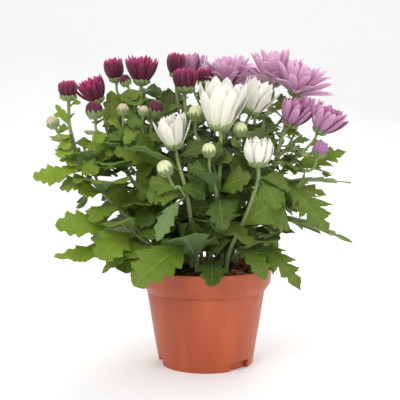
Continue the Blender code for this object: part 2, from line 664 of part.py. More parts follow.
def routes_of_shoots(heads):
    """The route of each shoot by name, from its root or fork to its head or tip."""
    routes = {}
    for shoot in SHOOTS:
        if shoot.parent is None:
            x, y = shoot.fork
            ground = soil_height(x, y)
            route = [(x, y, ground - ROOT_DEPTH), (x, y, ground + ROOT_COLLAR)]
        else:
            route = [at_height(routes[shoot.parent], shoot.fork)]
        route += shoot.via
        if shoot.name in heads:
            head = heads[shoot.name]
            base = np.asarray(head.base, float)
            route += [base - unit(head.axis) * NECK_LENGTH, base]
        routes[shoot.name] = np.array(route, float)
    return routes


def node_of_shoots():
    """The rooted shoot that each shoot belongs to."""
    found = {}
    for shoot in SHOOTS:
        found[shoot.name] = found[shoot.parent] if shoot.parent else "stem_" + shoot.name
    return found


def leaves_by_rule(shoot, route, number):
    """Leaves up a shoot in a two-fifths spiral, smaller towards the top."""
    steps = np.linalg.norm(np.diff(route, axis=0), axis=1)
    lengths = np.concatenate(([0.0], np.cumsum(steps)))
    last = lengths[-1] - NECK_LENGTH
    first = LEAF_STEP * 0.5 if shoot.parent else ROOT_DEPTH + ROOT_COLLAR
    for i, travelled in enumerate(np.arange(first, last, LEAF_STEP)):
        root = np.array([np.interp(travelled, lengths, route[:, k]) for k in range(3)])
        length = max(LEAF_SHORTEST, LEAF_LONG - LEAF_SHORTENS * (root[2] - LOWEST_LEAF))
        if shoot.parent:
            length *= SIDE_SHARE
        turn = SHOOT_TURN * number + LEAF_TURN * i
        outwards = np.array((math.cos(turn), math.sin(turn), LEAF_RISES[i % len(LEAF_RISES)]))
        tip = root + unit(outwards) * length
        kind = "middle" if length > SMALL_LEAF else "small"
        yield Leaf(root, tip, (0.0, 0.0, 1.0), length * LEAF_PLUMP, length * LEAF_ARCH, kind)


# The whole layout

def laid_out(fixed):
    """The solids of the plants by node, each blade bent clear of what is already there."""
    heads = {head.name: head for head in HEADS}
    routes = routes_of_shoots(heads)
    owners = node_of_shoots()
    room = Room()
    for name, solid in fixed.items():
        room.add(name, solid)
    nodes = {}
    for shoot in SHOOTS:
        owner = owners[shoot.name]
        radii, sides = (SIDE_RADII, SIDE_SIDES) if shoot.parent else (MAIN_RADII, MAIN_SIDES)
        solids = [tube(routes[shoot.name], radii, sides)]
        if shoot.name in heads:
            solids.append(cup_solid(heads[shoot.name]))
        for solid in solids:
            nodes.setdefault(owner, []).append(solid)
            room.add(owner, solid)
    nodes.update(heads_laid_out(room))
    for owner, leaf in wanted_leaves(routes, owners):
        bent = clear_leaf(leaf, owner, room)
        if bent is not None:
            nodes[owner].append(leaf_solid(bent))
            room.add(owner, leaf_solid(bent))
    return nodes


def heads_laid_out(room):
    """Buds and flower heads, each petal bent clear of its neighbours."""
    nodes = {}
    rings = {}
    for head in HEADS:
        if head.kind == "bud":
            name = "bud_" + head.name
            nodes[name] = [bud_solid(head)]
        else:
            name = "bloom_" + head.name
            rings[name] = core_rings(head)
            nodes[name] = [bloom_solid(head, rings[name], {})]
        room.add(name, nodes[name][0])
    for head in HEADS:
        name = "bloom_" + head.name
        if name not in rings:
            continue
        petals = {}
        own = Room()
        for layer, place, petal in petals_of(head, rings[name]):
            for bent in bent_petals(petal):
                if room.crossed(petal_probe(bent, CLEARANCE), name):
                    continue
                if own.crossed(petal_probe(bent, TOUCHING)):
                    continue
                petals[layer, place] = bent
                own.add(name, petal_probe(bent, 0.0))
                break
        nodes[name] = [bloom_solid(head, rings[name], petals)]
        room.add(name, nodes[name][0])
    return nodes


def wanted_leaves(routes, owners):
    """Each leaf with the node that it belongs to, the chosen ones first."""
    found = [(owners[spot.shoot], Leaf(at_height(routes[spot.shoot], spot.height), spot.tip,
                                       spot.facing, spot.width, spot.arch, spot.kind))
             for spot in CHOSEN_LEAVES]
    for number, shoot in enumerate(SHOOTS):
        found += [(owners[shoot.name], leaf)
                  for leaf in leaves_by_rule(shoot, routes[shoot.name], number)]
    return found


def clear_leaf(leaf, owner, room):
    """The leaf as first bent clear of everything but the stem that carries its stalk."""
    for bent in bent_leaves(leaf):
        if room.crossed(leaf_solid(bent, 1, CLEARANCE)):
            continue
        if not room.crossed(leaf_solid(bent, 0, CLEARANCE), owner):
            return bent
    return None


# Objects

def material_of(name):
    if name in bpy.data.materials:
        return bpy.data.materials[name]
    colour, roughness = COLOURS[name]
    material = bpy.data.materials.new(name)
    material.use_nodes = True
    shader = material.node_tree.nodes["Principled BSDF"]
    shader.inputs["Base Color"].default_value = (*colour, 1.0)
    shader.inputs["Roughness"].default_value = roughness
    return material


def object_of(name, solid, material, collection=None):
    points, triangles = solid
    mesh = bpy.data.meshes.new(name)
    mesh.from_pydata((points * METRES).tolist(), [], triangles.tolist())
    mesh.materials.append(material_of(material))
    made = bpy.data.objects.new(name, mesh)
    (collection or bpy.context.scene.collection).objects.link(made)
    return made


def apply_modifiers(made):
    """The object's mesh with its modifiers worked in."""
    bpy.context.view_layer.update()
    graph = bpy.context.evaluated_depsgraph_get()
    mesh = bpy.data.meshes.new_from_object(made.evaluated_get(graph))
    made.modifiers.clear()
    made.data = mesh


def join_flat_faces(made):
    """Faces that lie in one plane become one, so that seams need few corners."""
    shape = bmesh.new()
    shape.from_mesh(made.data)
    bmesh.ops.dissolve_limit(shape, angle_limit=FLAT, verts=shape.verts, edges=shape.edges)
    bmesh.ops.triangulate(shape, faces=shape.faces)
    shape.to_mesh(made.data)
    shape.free()


def boolean(made, solids, operation, solver, material):
    """Joins the solids to the object, or cuts them from it, as one collection."""
    helpers = bpy.data.collections.new(made.name + "_helpers")
    bpy.context.scene.collection.children.link(helpers)
    for number, solid in enumerate(solids):
        object_of(f"{made.name}_helper_{number}", solid, material, helpers)
    modifier = made.modifiers.new("Join", "BOOLEAN")
    modifier.operation = operation
    modifier.operand_type = "COLLECTION"
    modifier.collection = helpers
    modifier.solver = solver
    apply_modifiers(made)
    join_flat_faces(made)
    for helper in list(helpers.objects):
        bpy.data.objects.remove(helper)
    bpy.data.collections.remove(helpers)


def smooth_shaded(made, degrees):
    made.data.shade_smooth()
    made.data.set_sharp_from_angle(angle=math.radians(degrees))


def pot_solid():
    """The pot's wall and floor in one turned body."""
    inner_top = RIM_RADIUS - WALL
    inner_neck = NECK_RADIUS - WALL
    slope = (NECK_RADIUS - BASE_RADIUS) / NECK_HEIGHT
    inner_corner = BASE_RADIUS + slope * CORNER_HEIGHT - WALL
    profile = [(0, 0, 0), (BASE_RADIUS, 0, 0), (NECK_RADIUS, NECK_HEIGHT, 0),
               (RIM_FOOT_RADIUS, RIM_FOOT_HEIGHT, 0), (RIM_RADIUS, POT_HEIGHT, 0),
               (inner_top, POT_HEIGHT, 0), (RIM_FOOT_RADIUS - WALL, RIM_FOOT_HEIGHT, 0),
               (inner_neck, NECK_HEIGHT - 0.5, 0), (inner_corner, CORNER_HEIGHT, 0),
               (BASE_RADIUS - CORNER_INSET, FLOOR, 0), (0, FLOOR, 0)]
    return turned(profile, POT_SIDES, np.zeros(3), (0, 0, 1))


def wedge(angle):
    """The cutter of one notch: a curved block round the foot's edge."""
    spread = [math.radians(angle - 90 + NOTCH_SPAN * share) for share in (-0.5, -0.17, 0.17, 0.5)]
    points = []
    for height in (-2.0, NOTCH_HEIGHT):
        for radius in (BASE_RADIUS - NOTCH_DEPTH, BASE_RADIUS + 6.0):
            points += [(radius * math.cos(a), radius * math.sin(a), height) for a in spread]
    low_in, low_out, high_in, high_out = (list(range(i, i + 4)) for i in (0, 4, 8, 12))
    triangles = quads_between(low_out + low_in[::-1], high_out + high_in[::-1])
    for i in range(3):
        triangles += [(low_in[i], low_out[i + 1], low_out[i]), (low_in[i], low_in[i + 1], low_out[i + 1])]
        triangles += [(high_in[i], high_out[i], high_out[i + 1]),
                      (high_in[i], high_out[i + 1], high_in[i + 1])]
    return closed(points, triangles)


def post(x, y, low, high, radius):
    return tube([(x, y, low), (x, y, high)], (radius, radius), MAIN_SIDES)


def make_pot():
    made = object_of("pot", pot_solid(), "pot")
    cuts = [wedge(angle) for angle in NOTCH_ANGLES]
    for i in range(DRAIN_COUNT):
        angle = math.tau * i / DRAIN_COUNT
        cuts.append(post(DRAIN_RING * math.cos(angle), DRAIN_RING * math.sin(angle), -2, FLOOR + 2,
                         DRAIN_RADIUS))
    boolean(made, cuts, "DIFFERENCE", "EXACT", "pot")
    smooth_shaded(made, 35)


def soil_solid():
    """The block of soil that fills the pot, a clearance inside its wall."""
    slope = (NECK_RADIUS - BASE_RADIUS) / NECK_HEIGHT
    inner_corner = BASE_RADIUS + slope * CORNER_HEIGHT - WALL
    rim_slope = (RIM_RADIUS - RIM_FOOT_RADIUS) / (POT_HEIGHT - RIM_FOOT_HEIGHT)
    edge = RIM_FOOT_RADIUS - WALL + rim_slope * (SOIL_EDGE - SOIL_LIP - RIM_FOOT_HEIGHT) - SOIL_GAP
    low = FLOOR + SOIL_GAP
    rings = [(BASE_RADIUS - CORNER_INSET - SOIL_GAP, low),
             (inner_corner - SOIL_GAP, CORNER_HEIGHT + SOIL_GAP),
             (NECK_RADIUS - WALL - SOIL_GAP, NECK_HEIGHT - CLEARANCE),
             (RIM_FOOT_RADIUS - WALL - SOIL_GAP, RIM_FOOT_HEIGHT + CLEARANCE),
             (edge, None)]
    rings += [(radius, None) for radius in SOIL_RINGS]
    points = [(0, 0, low)]
    numbers = []
    for radius, height in rings:
        numbers.append(range(len(points), len(points) + SOIL_SIDES))
        for side in range(SOIL_SIDES):
            angle = math.tau * side / SOIL_SIDES
            x, y = radius * math.cos(angle), radius * math.sin(angle)
            points.append((x, y, soil_height(x, y) if height is None else height))
    points.append((0, 0, soil_height(0, 0)))
    triangles = []
    for lower, upper in zip(numbers, numbers[1:]):
        triangles += quads_between(lower, upper)
    for side in range(SOIL_SIDES):
        after = (side + 1) % SOIL_SIDES
        triangles.append((0, numbers[0][after], numbers[0][side]))
        triangles.append((len(points) - 1, numbers[-1][side], numbers[-1][after]))
    return closed(points, triangles)


def make_soil():
    """The soil with a plain hole for each rooted shoot."""
    made = object_of("soil", soil_solid(), "soil")
    holes = []
    for shoot in SHOOTS:
        if shoot.parent is None:
            x, y = shoot.fork
            ground = soil_height(x, y)
            holes.append(post(x, y, ground - ROOT_DEPTH - CLEARANCE, ground + HOLE_ABOVE,
                              MAIN_RADII[0] + HOLE_GAP))
    boolean(made, holes, "DIFFERENCE", "EXACT", "soil")


def make_plants():
    nodes = laid_out({"pot": pot_solid(), "soil": soil_solid()})
    for name, solids in nodes.items():
        colour = "stem" if name.startswith("stem") else name.split("_")[1]
        made = object_of(name, solids[0], colour)
        if len(solids) > 1:
            boolean(made, solids[1:], "UNION", "MANIFOLD", colour)
        smooth_shaded(made, 40)


def main():
    for old in list(bpy.data.objects):
        bpy.data.objects.remove(old)
    make_pot()
    make_soil()
    make_plants()


main()
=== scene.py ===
"""Looks of the potted chrysanthemum: fine leaves, petals, pot and soil over the fixed frame.

The layout is in millimetres with +Z up and repeats the solid part's, with the same bends,
so that each fine piece keeps the form of the node that it stands for. Meshes are in metres.
"""

import json
import math
import random
from collections import namedtuple

import bpy
import numpy as np
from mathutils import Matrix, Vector, noise
from mathutils.bvhtree import BVHTree

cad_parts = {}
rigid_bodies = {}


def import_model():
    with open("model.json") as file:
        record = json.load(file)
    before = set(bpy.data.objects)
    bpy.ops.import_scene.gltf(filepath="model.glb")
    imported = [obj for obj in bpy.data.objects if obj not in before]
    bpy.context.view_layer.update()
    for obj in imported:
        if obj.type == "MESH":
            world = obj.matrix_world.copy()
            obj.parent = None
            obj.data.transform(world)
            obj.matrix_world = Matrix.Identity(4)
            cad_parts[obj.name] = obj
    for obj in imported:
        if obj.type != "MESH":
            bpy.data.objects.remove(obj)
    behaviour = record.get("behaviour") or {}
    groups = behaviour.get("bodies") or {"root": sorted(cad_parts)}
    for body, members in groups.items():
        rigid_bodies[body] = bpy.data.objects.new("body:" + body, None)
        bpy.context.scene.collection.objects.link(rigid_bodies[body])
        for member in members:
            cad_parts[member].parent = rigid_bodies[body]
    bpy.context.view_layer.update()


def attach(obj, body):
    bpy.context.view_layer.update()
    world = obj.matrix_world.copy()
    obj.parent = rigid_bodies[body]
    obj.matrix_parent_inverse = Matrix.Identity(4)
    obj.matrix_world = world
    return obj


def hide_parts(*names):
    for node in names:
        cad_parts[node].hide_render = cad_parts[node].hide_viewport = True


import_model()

METRES = 0.001
CLEARANCE = 0.3

# Pot, a thin-walled 12 cm grower's pot
POT_HEIGHT = 86.9
POT_SIDES = 24
RIM_RADIUS = 60.0
RIM_FOOT_HEIGHT = 73.0
RIM_FOOT_RADIUS = 58.5
NECK_HEIGHT = 65.3
NECK_RADIUS = 53.2
BASE_RADIUS = 42.9
WALL = 1.8
FLOOR = 3.0
CORNER_HEIGHT = 13.0
CORNER_INSET = 6.5
NOTCH_ANGLES = (43.0, 163.0, 283.0)
NOTCH_SPAN = 30.0
NOTCH_HEIGHT = 8.0
NOTCH_DEPTH = 4.0
DRAIN_COUNT = 4
DRAIN_RING = 24.0
DRAIN_RADIUS = 3.5
INNER_CORNER = BASE_RADIUS + (NECK_RADIUS - BASE_RADIUS) / NECK_HEIGHT * CORNER_HEIGHT - WALL

# Soil
SOIL_EDGE = 79.0
SOIL_CROWN = 88.0
SOIL_DOME = 54.0
SOIL_LUMP = 1.1
SOIL_LIP = 2.5
SOIL_GAP = 0.45
SOIL_RINGS = (38.0, 16.0)
SOIL_SIDES = POT_SIDES
ROOT_DEPTH = 14.0
ROOT_COLLAR = 8.0
SOIL_FOOT = FLOOR + SOIL_GAP
# The soil's side from its foot to the pot's neck, as radii and heights
SOIL_SIDE = ((BASE_RADIUS - CORNER_INSET - SOIL_GAP, SOIL_FOOT),
             (INNER_CORNER - SOIL_GAP, CORNER_HEIGHT + SOIL_GAP),
             (NECK_RADIUS - WALL - SOIL_GAP, NECK_HEIGHT - CLEARANCE))

# Stems
MAIN_RADII = (2.1, 1.45)
MAIN_SIDES = 5
SIDE_RADII = (1.35, 1.1)
SIDE_SIDES = 4
NECK_LENGTH = 12.0

# Leaves
BLADE = 0.9
EDGE = 0.6
STALK = 1.5
LEAF_FOLD = math.radians(14)
LEAF_STEP = 45.5
LEAF_TURN = math.radians(144)
LOWEST_LEAF = 98.0
LEAF_LONG = 66.0
LEAF_SHORTENS = 0.2
LEAF_SHORTEST = 15.0
SMALL_LEAF = 24.0
LEAF_PLUMP = 0.37
LEAF_ARCH = 0.09
LEAF_RISES = (0.5, -0.3, 0.2, -0.55, 0.35)
SIDE_SHARE = 0.62
SHOOT_TURN = 2.1
LEAF_SHRINKS = (1.0, 0.86, 0.72)
LEAF_LIFTS = (0, 12, -12, 24, -24, 36)
LEAF_TURNS = (0, 13, -13, 26, -26, 39, -39, 60, -60)

# Green cups, buds and cores
CUP_SIDES = 6
CUP_RIM = 1.1
CUP_DEPTH = 1.4
RIM_POINT = 0.22
BUD_SIDES = 8
BUD_RIDGE = 0.08
CORE_RISE = 1.15
CORE_WIDTH = 0.84
CORE_ROUND = 1.2
MOUTH_INSET = 1.7
MOUTH_RISE = 0.7

# Petals
PETAL_THICK = 1.0
PETAL_CUP = 0.22
PETAL_CROWD = 0.94
PETAL_SHARES = {1: (0.62,), 2: (0.42, 0.8)}
WIDEST = 0.62
PETAL_SHRINKS = (1.0, 0.86, 0.72, 0.58)
PETAL_LEANS = (0, -8, 8, -16, 16, -24)
TOUCHING = 0.02

# Fine stems and leaves. A power under 1 sets the rows along a blade closer together at its tip
FINE_SPANS = 6
FINE_SIDES = 9
LEAF_ROWS = {"large": 46, "middle": 28, "small": 16}
STALK_ROWS = 5
LEAF_COLUMNS = 4
ROWS_CROWD = 0.92
STALK_END = {"large": 0.2, "middle": 0.1, "small": 0.1}
STALK_HALF = {"large": 0.85, "middle": 0.6, "small": 0.6}
LEAF_THIN = 0.24
TWIST = math.radians(13)
LOBE_STRAY = 0.018
LOBE_LEAST = 0.88
TOOTH = 0.62
# How far a blade waves and droops, as shares of its half width, and its other relief in millimetres
LEAF_WAVE = 0.075
LEAF_WAVES = 11
LEAF_DROOP = 0.13
SIDE_VEINS = 7.5
QUILT = 0.12
RIB_DEEP = 0.3
RIB_KEEL = 0.35
RIB_KEEL_HALF = 0.7
# Leaves near the middle of the plant are painted darker, as painted shade, and those that stand far out to
# the left or right paler, as painted light
SHADED_MIDDLE_REACH = 35.0
LIT_SIDE_REACH = 150.0
PAINTED_LIGHT_SHARE = {"round": 0.8, "cut": 0.45}
TONE_STRAY = 0.3

# The small leaves between the others: how they stand and where their tips may be
EXTRA_STEP = 6.6
EXTRA_FIRST = 6.0
EXTRA_COLUMNS = 3
EXTRA_LONG = 46.0
EXTRA_SHORTENS = 28.0
EXTRA_SPAN = 105.0
EXTRA_SIZES = (0.8, 1.2)
EXTRA_TILTS = (0.4, 1.3)
EXTRA_PLUMP = 0.4
EXTRA_ARCH = 0.12
EXTRA_RISE = 0.6
EXTRA_DROOP = -0.9
LOW_DROOP = -0.05
LOW_ROOT = 116.0
BACK_ROW = 25.0
LEAST_REACH = (-140.0, -64.0, 89.0)
MOST_REACH = (124.0, 108.0, 250.0)

# Fine cups and buds. A whorl of scales has its foot as a share of the cup's height, how many there
# are, and its top as a share of the tallest scale's rise
CUP_FINE_SIDES = 24
WHORLS = ((-0.1, 9, 0.72), (0.25, 10, 1.0))
SCALE_TURNS = 0.12
SCALE_RISES = (0.9, 1.06)
SCALE_ROWS = 7
SCALE_POINTS = 5
SCALE_WIDEST = 0.25
SCALE_HALF = 0.3
SCALE_THIN = 0.25
SCALE_KEEL = 0.3
SCALE_LIFT = 0.35
# How much of the solid cup's height the green scales cover under a head
CUP_RISE = {"burgundy": 0.95, "white": 0.7, "lilac": 0.8, "green": 1.0}
# How far the scales of an open head rise, as a share of the cup, and of a bud, as a share of its size
SCALES_RISE = {"burgundy": 1.22, "white": 1.55, "lilac": 1.3}
BUD_SCALES = {"burgundy": 0.5, "lilac": 0.35, "green": 0.62}
BUD_RELIEF = {"burgundy": 1.0, "lilac": 0.9, "green": 0.45}
BUD_FINE_SIDES = 78
BUD_RINGS = 17
BUD_FOOT = 0.3 * math.pi
BUD_TOP = 0.497 * math.pi
BUD_PETALS = 13
BUD_SWIRL = 0.09

# Fine petals
PETAL_ROWS = 11
PETAL_COLUMNS = 6
PETAL_EVEN = 0.85
PETAL_THIN = 0.17
PETAL_NOTCH = 0.035
PETAL_GROOVE = 0.16
PETAL_WIDTHS = (0.88, 1.1)
# How high in its green cup a head's outer petals start, as a share of the cup's height
SEAT_RISE = 0.72
# How far rings past the last layer of the solid head are drawn in and raised
BEYOND_DRAW = 0.45
BEYOND_RISE = 0.15
# How many rings show their outer face's colour; the petals inside them are deep all through
OUTER_RINGS = {"brush": 2, "cup": 2, "egg": 4, "crown": 5, "vase": 2, "open": 5}
# The shortest petal of a kind of head, as a share of its longest
UNEVEN = {"brush": 0.84, "cup": 0.76, "egg": 0.88, "crown": 0.74, "vase": 0.82, "open": 0.74}

# Fine pot: its outside and inside as radii and heights, with a rounded foot, step and rim
POT_FINE_SIDES = 144
POT_SHARP = 40
DRAIN_SIDES = 20
POT_OUTSIDE = [(BASE_RADIUS - 2.0, 0.0), (BASE_RADIUS - 0.9, 0.12), (BASE_RADIUS - 0.25, 0.7),
               (BASE_RADIUS, 1.8), (0.5 * (BASE_RADIUS + NECK_RADIUS), 0.5 * NECK_HEIGHT),
               (NECK_RADIUS - 0.15, NECK_HEIGHT - 1.4), (NECK_RADIUS - 0.45, NECK_HEIGHT - 0.5),
               (NECK_RADIUS - 0.4, NECK_HEIGHT - 0.1), (NECK_RADIUS + 0.15, NECK_HEIGHT + 0.2),
               (NECK_RADIUS + 1.2, NECK_HEIGHT + 1.6), (RIM_FOOT_RADIUS - 1.5, RIM_FOOT_HEIGHT - 2.2),
               (RIM_FOOT_RADIUS - 0.35, RIM_FOOT_HEIGHT - 0.5),
               (RIM_FOOT_RADIUS + 0.05, RIM_FOOT_HEIGHT + 0.9), (RIM_RADIUS - 0.25, POT_HEIGHT - 3.2),
               (RIM_RADIUS, POT_HEIGHT - 1.4), (RIM_RADIUS - 0.2, POT_HEIGHT - 0.4),
               (RIM_RADIUS - 0.8, POT_HEIGHT)]
POT_INSIDE = [(RIM_RADIUS - WALL + 0.3, POT_HEIGHT - 0.1), (RIM_RADIUS - WALL, POT_HEIGHT - 0.7),
              (RIM_FOOT_RADIUS - WALL, RIM_FOOT_HEIGHT), (NECK_RADIUS - WALL, NECK_HEIGHT - 0.5),
              (INNER_CORNER, CORNER_HEIGHT), (BASE_RADIUS - CORNER_INSET, FLOOR)]

# Fine soil, with a low heap against the rim
SOIL_FINE_SIDES = 96
SOIL_FINE_RINGS = 34
SOIL_MIDDLE = 8.0
SOIL_TOP_EDGE = 56.4
CLODS = 1.5
GRAINS = 0.5
HEAP_SPOT = (46.0, -8.0)
HEAP_RISE = 5.0
HEAP_REACH = 24.0
CRUMBS = 560
CRUMB_SIZES = (0.5, 1.1)
CRUMB_SPREAD = 1.1
CRUMB_SIDES = 6
CRUMB_ROWS = 4
FIBRES = 110
FIBRE_STEPS = 7

# Camera, backdrop and lights, in metres and watts
CAMERA_SPOT = (-0.0052, -0.650, 0.1862)
CAMERA_PITCH = 0.061
CAMERA_LENS = 64.98
CAMERA_SENSOR = 36.0
FLOOR_ROWS = (-3.0, -1.5, 0.0)
BACKDROP = 1.1
BACKDROP_BEND = 0.9
BACKDROP_STEPS = 12
BACKDROP_TOP = 3.6
BACKDROP_HALF = 4.0
SKY = 0.9
LIGHT_TARGET = (0.0, 0.0, 0.15)
LIGHTS = (("key", (-0.7, -1.2, 1.3), 0.9, 14), ("fill", (1.2, -0.8, 0.7), 1.2, 6),
          ("back", (0.3, 1.0, 1.2), 1.0, 12))

SEED = 41

Shoot = namedtuple("Shoot", "name parent fork via")
Head = namedtuple("Head", "name colour kind base axis cup size")
Form = namedtuple("Form", "petals layers")
Layer = namedtuple("Layer", "length start end width stations")
Petal = namedtuple("Petal", "base axis turn radius height length start end width stations crowd")
Leaf = namedtuple("Leaf", "root tip facing width arch kind")
Chosen = namedtuple("Chosen", "shoot height tip width facing arch kind")
Lobe = namedtuple("Lobe", "centre height reach")
Ring = namedtuple("Ring", "layer count start end length width")
Blade = namedtuple("Blade", "blunt taper cup root tuck")
Fibre = namedtuple("Fibre", "lengths radii lifts")

# Flower heads and buds: name, kind, base of the green cup, way it faces, cup radius, petal length
HEADS = tuple(Head(name, name.split("_")[0], *rest) for name, *rest in (
    ("burgundy_1", "brush", (-121, -10, 235), (0.0, -0.1, 1.0), 7.0, 8.5),
    ("burgundy_2", "cup", (-96, 0, 233.4), (-0.35, -0.25, 0.9), 6.5, 17.5),
    ("burgundy_3", "bud", (-95.4, -25, 218.4), (-0.1, -0.1, 1.0), 6.2, 7.4),
    ("burgundy_4", "brush", (-82.2, 20, 254), (-0.14, -0.1, 1.0), 6.2, 15),
    ("burgundy_5", "cup", (-58, 5, 250.4), (0.05, -0.15, 1.0), 7.4, 18),
    ("burgundy_6", "bud", (-69.8, -3, 248.7), (-0.4, -0.2, 0.9), 4.2, 5.0),
    ("burgundy_7", "brush", (-28, 40, 260.8), (0.0, -0.1, 1.0), 6.0, 16),
    ("burgundy_8", "brush", (-18.6, 0, 242.3), (0.0, -0.1, 1.0), 8.6, 11.5),
    ("burgundy_9", "brush", (-1, 22, 250.6), (0.0, 0.0, 1.0), 6.2, 8.5),
    ("burgundy_10", "bud", (-45, -22, 220.7), (0.25, -0.2, 0.95), 5.6, 6.8),
    ("burgundy_11", "cup", (-62, 60, 256), (-0.1, 0.35, 0.93), 6.4, 14),
    ("burgundy_12", "brush", (-22, 74, 252), (-0.05, 0.3, 0.95), 6.2, 13),
    ("white_1", "crown", (-25.4, -52, 191.5), (-0.2, -0.1, 0.97), 7.4, 21),
    ("white_2", "crown", (12, -46, 207), (0.0, -0.05, 1.0), 8.4, 36),
    ("white_3", "crown", (38.5, -16, 222), (0.36, -0.1, 0.93), 7.4, 24),
    ("white_4", "egg", (42.5, -57, 177.4), (0.0, -0.1, 1.0), 7.8, 15.5),
    ("white_5", "crown", (9, 94, 221), (-0.05, 0.5, 0.86), 7.0, 20),
    ("white_6", "crown", (35, 88, 231), (0.1, 0.5, 0.86), 6.6, 18),
    ("lilac_1", "open", (20, 40, 250), (-0.02, -0.25, 0.96), 7.0, 27),
    ("lilac_2", "vase", (-12, 64, 260.5), (-0.1, 0.05, 1.0), 6.0, 21),
    ("lilac_3", "open", (63, 34, 251), (0.0, -0.2, 0.98), 7.4, 31),
    ("lilac_4", "open", (80, 6, 240), (0.32, -0.25, 0.9), 7.4, 27.5),
    ("lilac_5", "vase", (72.5, -10, 212.5), (0.42, -0.3, 0.86), 6.4, 20),
    ("lilac_6", "vase", (98, -15, 206.2), (0.5, -0.25, 0.83), 6.4, 21.5),
    ("lilac_7", "bud", (96.3, -25, 186), (0.3, -0.2, 0.9), 5.4, 6.6),
    ("lilac_8", "open", (51, 86, 248), (0.0, 0.35, 0.93), 7.0, 25),
    ("lilac_9", "vase", (94, 72, 222), (0.35, 0.4, 0.85), 6.4, 18),
    ("green_1", "bud", (-130.8, -20, 210.6), (-0.45, -0.1, 0.9), 4.4, 5.4),
    ("green_2", "bud", (-71, -30, 221.5), (0.0, -0.1, 1.0), 3.9, 4.7),
    ("green_3", "bud", (-53.8, -31, 220.6), (0.1, -0.1, 1.0), 3.5, 4.2),
    ("green_4", "bud", (-31, -67, 171), (-0.4, -0.25, 0.87), 5.2, 6.3),
    ("green_5", "bud", (2.3, -61, 185.6), (-0.05, -0.1, 1.0), 4.6, 5.5),
    ("green_6", "bud", (-8.6, -32, 216.3), (0.0, -0.15, 1.0), 5.4, 6.5),
    ("green_7", "bud", (28.4, -41, 203), (0.0, -0.15, 1.0), 4.8, 5.8),
    ("green_8", "bud", (-86, 60, 192), (-0.5, 0.4, 0.8), 4.6, 5.6),
))

# Shoots: a rooted one gives its place in the soil, a side one its parent and the height of its fork
SHOOTS = tuple(Shoot(*row) for row in (
    ("burgundy_1", None, (-26, -4), [(-34, -8, 108), (-60, -12, 126), (-84, -14, 147),
                                    (-108, -18, 175), (-115, -16, 195), (-120, -13, 214)]),
    ("green_1", "burgundy_1", 174, [(-120, -21, 189)]),
    ("tuft", "burgundy_1", 157, [(-101, -8, 176), (-108, -5, 192), (-109, -5, 203)]),
    ("burgundy_2", None, (-17, 5), [(-24, 6, 112), (-48, 5, 140), (-72, 3, 172), (-87, 1, 204)]),
    ("burgundy_3", "burgundy_2", 182, [(-86, -12, 195)]),
    ("green_2", "burgundy_2", 168, [(-73, -16, 188)]),
    ("burgundy_10", None, (-13, -12), [(-18, -15, 112), (-32, -18, 150), (-44, -20, 186)]),
    ("green_3", "burgundy_10", 176, [(-50, -27, 194)]),
    ("burgundy_5", None, (-14, 17), [(-20, 18, 116), (-37, 16, 160), (-54, 11, 204)]),
    ("burgundy_4", "burgundy_5", 186, [(-65, 18, 211)]),
    ("burgundy_6", "burgundy_5", 208, [(-62, 3, 224)]),
    ("burgundy_8", None, (-4, 5), [(-8, 5, 132), (-14, 3, 180)]),
    ("burgundy_7", "burgundy_8", 168, [(-21, 22, 202)]),
    ("burgundy_9", "burgundy_8", 192, [(-9, 14, 216)]),
    ("white_1", None, (-8, -25), [(-9, -30, 110), (-13, -45, 134), (-16, -58, 155)]),
    ("green_4", "white_1", 150, [(-22, -65, 161)]),
    ("white_2", None, (4, -17), [(5, -25, 112), (9, -38, 145), (11.5, -44, 175)]),
    ("green_5", "white_2", 144, [(8, -54, 157)]),
    ("green_6", "white_2", 166, [(2, -37, 187)]),
    ("white_3", None, (14, -5), [(18, -8, 115), (28, -13, 160), (35, -15, 190)]),
    ("green_7", "white_3", 168, [(31, -28, 180)]),
    ("white_4", None, (18, -23), [(21, -33, 106), (27, -46, 122), (35, -54, 142)]),
    ("lilac_1", None, (4, 17), [(7, 24, 120), (12, 33, 176), (19, 41, 214)]),
    ("lilac_2", "lilac_1", 166, [(8, 48, 204)]),
    ("lilac_3", None, (18, 9), [(24, 12, 116), (38, 19, 166), (52, 28, 208)]),
    ("lilac_4", "lilac_3", 178, [(56, 15, 202)]),
    ("lilac_5", None, (27, -6), [(33, -5, 110), (49, -6, 145), (61, -7, 178)]),
    ("lilac_6", "lilac_5", 158, [(72, -11, 178)]),
    ("lilac_7", "lilac_6", 176, [(83, -20, 173)]),
    ("burgundy_12", None, (-12, 28), [(-16, 38, 116), (-22, 54, 155), (-24, 66, 202)]),
    ("burgundy_11", "burgundy_12", 140, [(-34, 57, 168), (-52, 60, 214)]),
    ("green_8", "burgundy_11", 170, [(-62, 60, 180)]),
    ("white_5", None, (2, 35), [(4, 50, 118), (6, 70, 155), (7, 84, 182)]),
    ("white_6", "white_5", 140, [(20, 74, 164)]),
    ("lilac_8", None, (25, 26), [(33, 36, 115), (44, 54, 150), (48, 74, 196)]),
    ("lilac_9", "lilac_8", 142, [(62, 60, 172), (82, 68, 196)]),
    ("shoot_left", None, (-32, -18), [(-42, -21, 104), (-58, -23, 116), (-76, -23, 128)]),
    ("shoot_back", None, (-30, 22), [(-42, 32, 106), (-62, 44, 126), (-80, 54, 146)]),
))

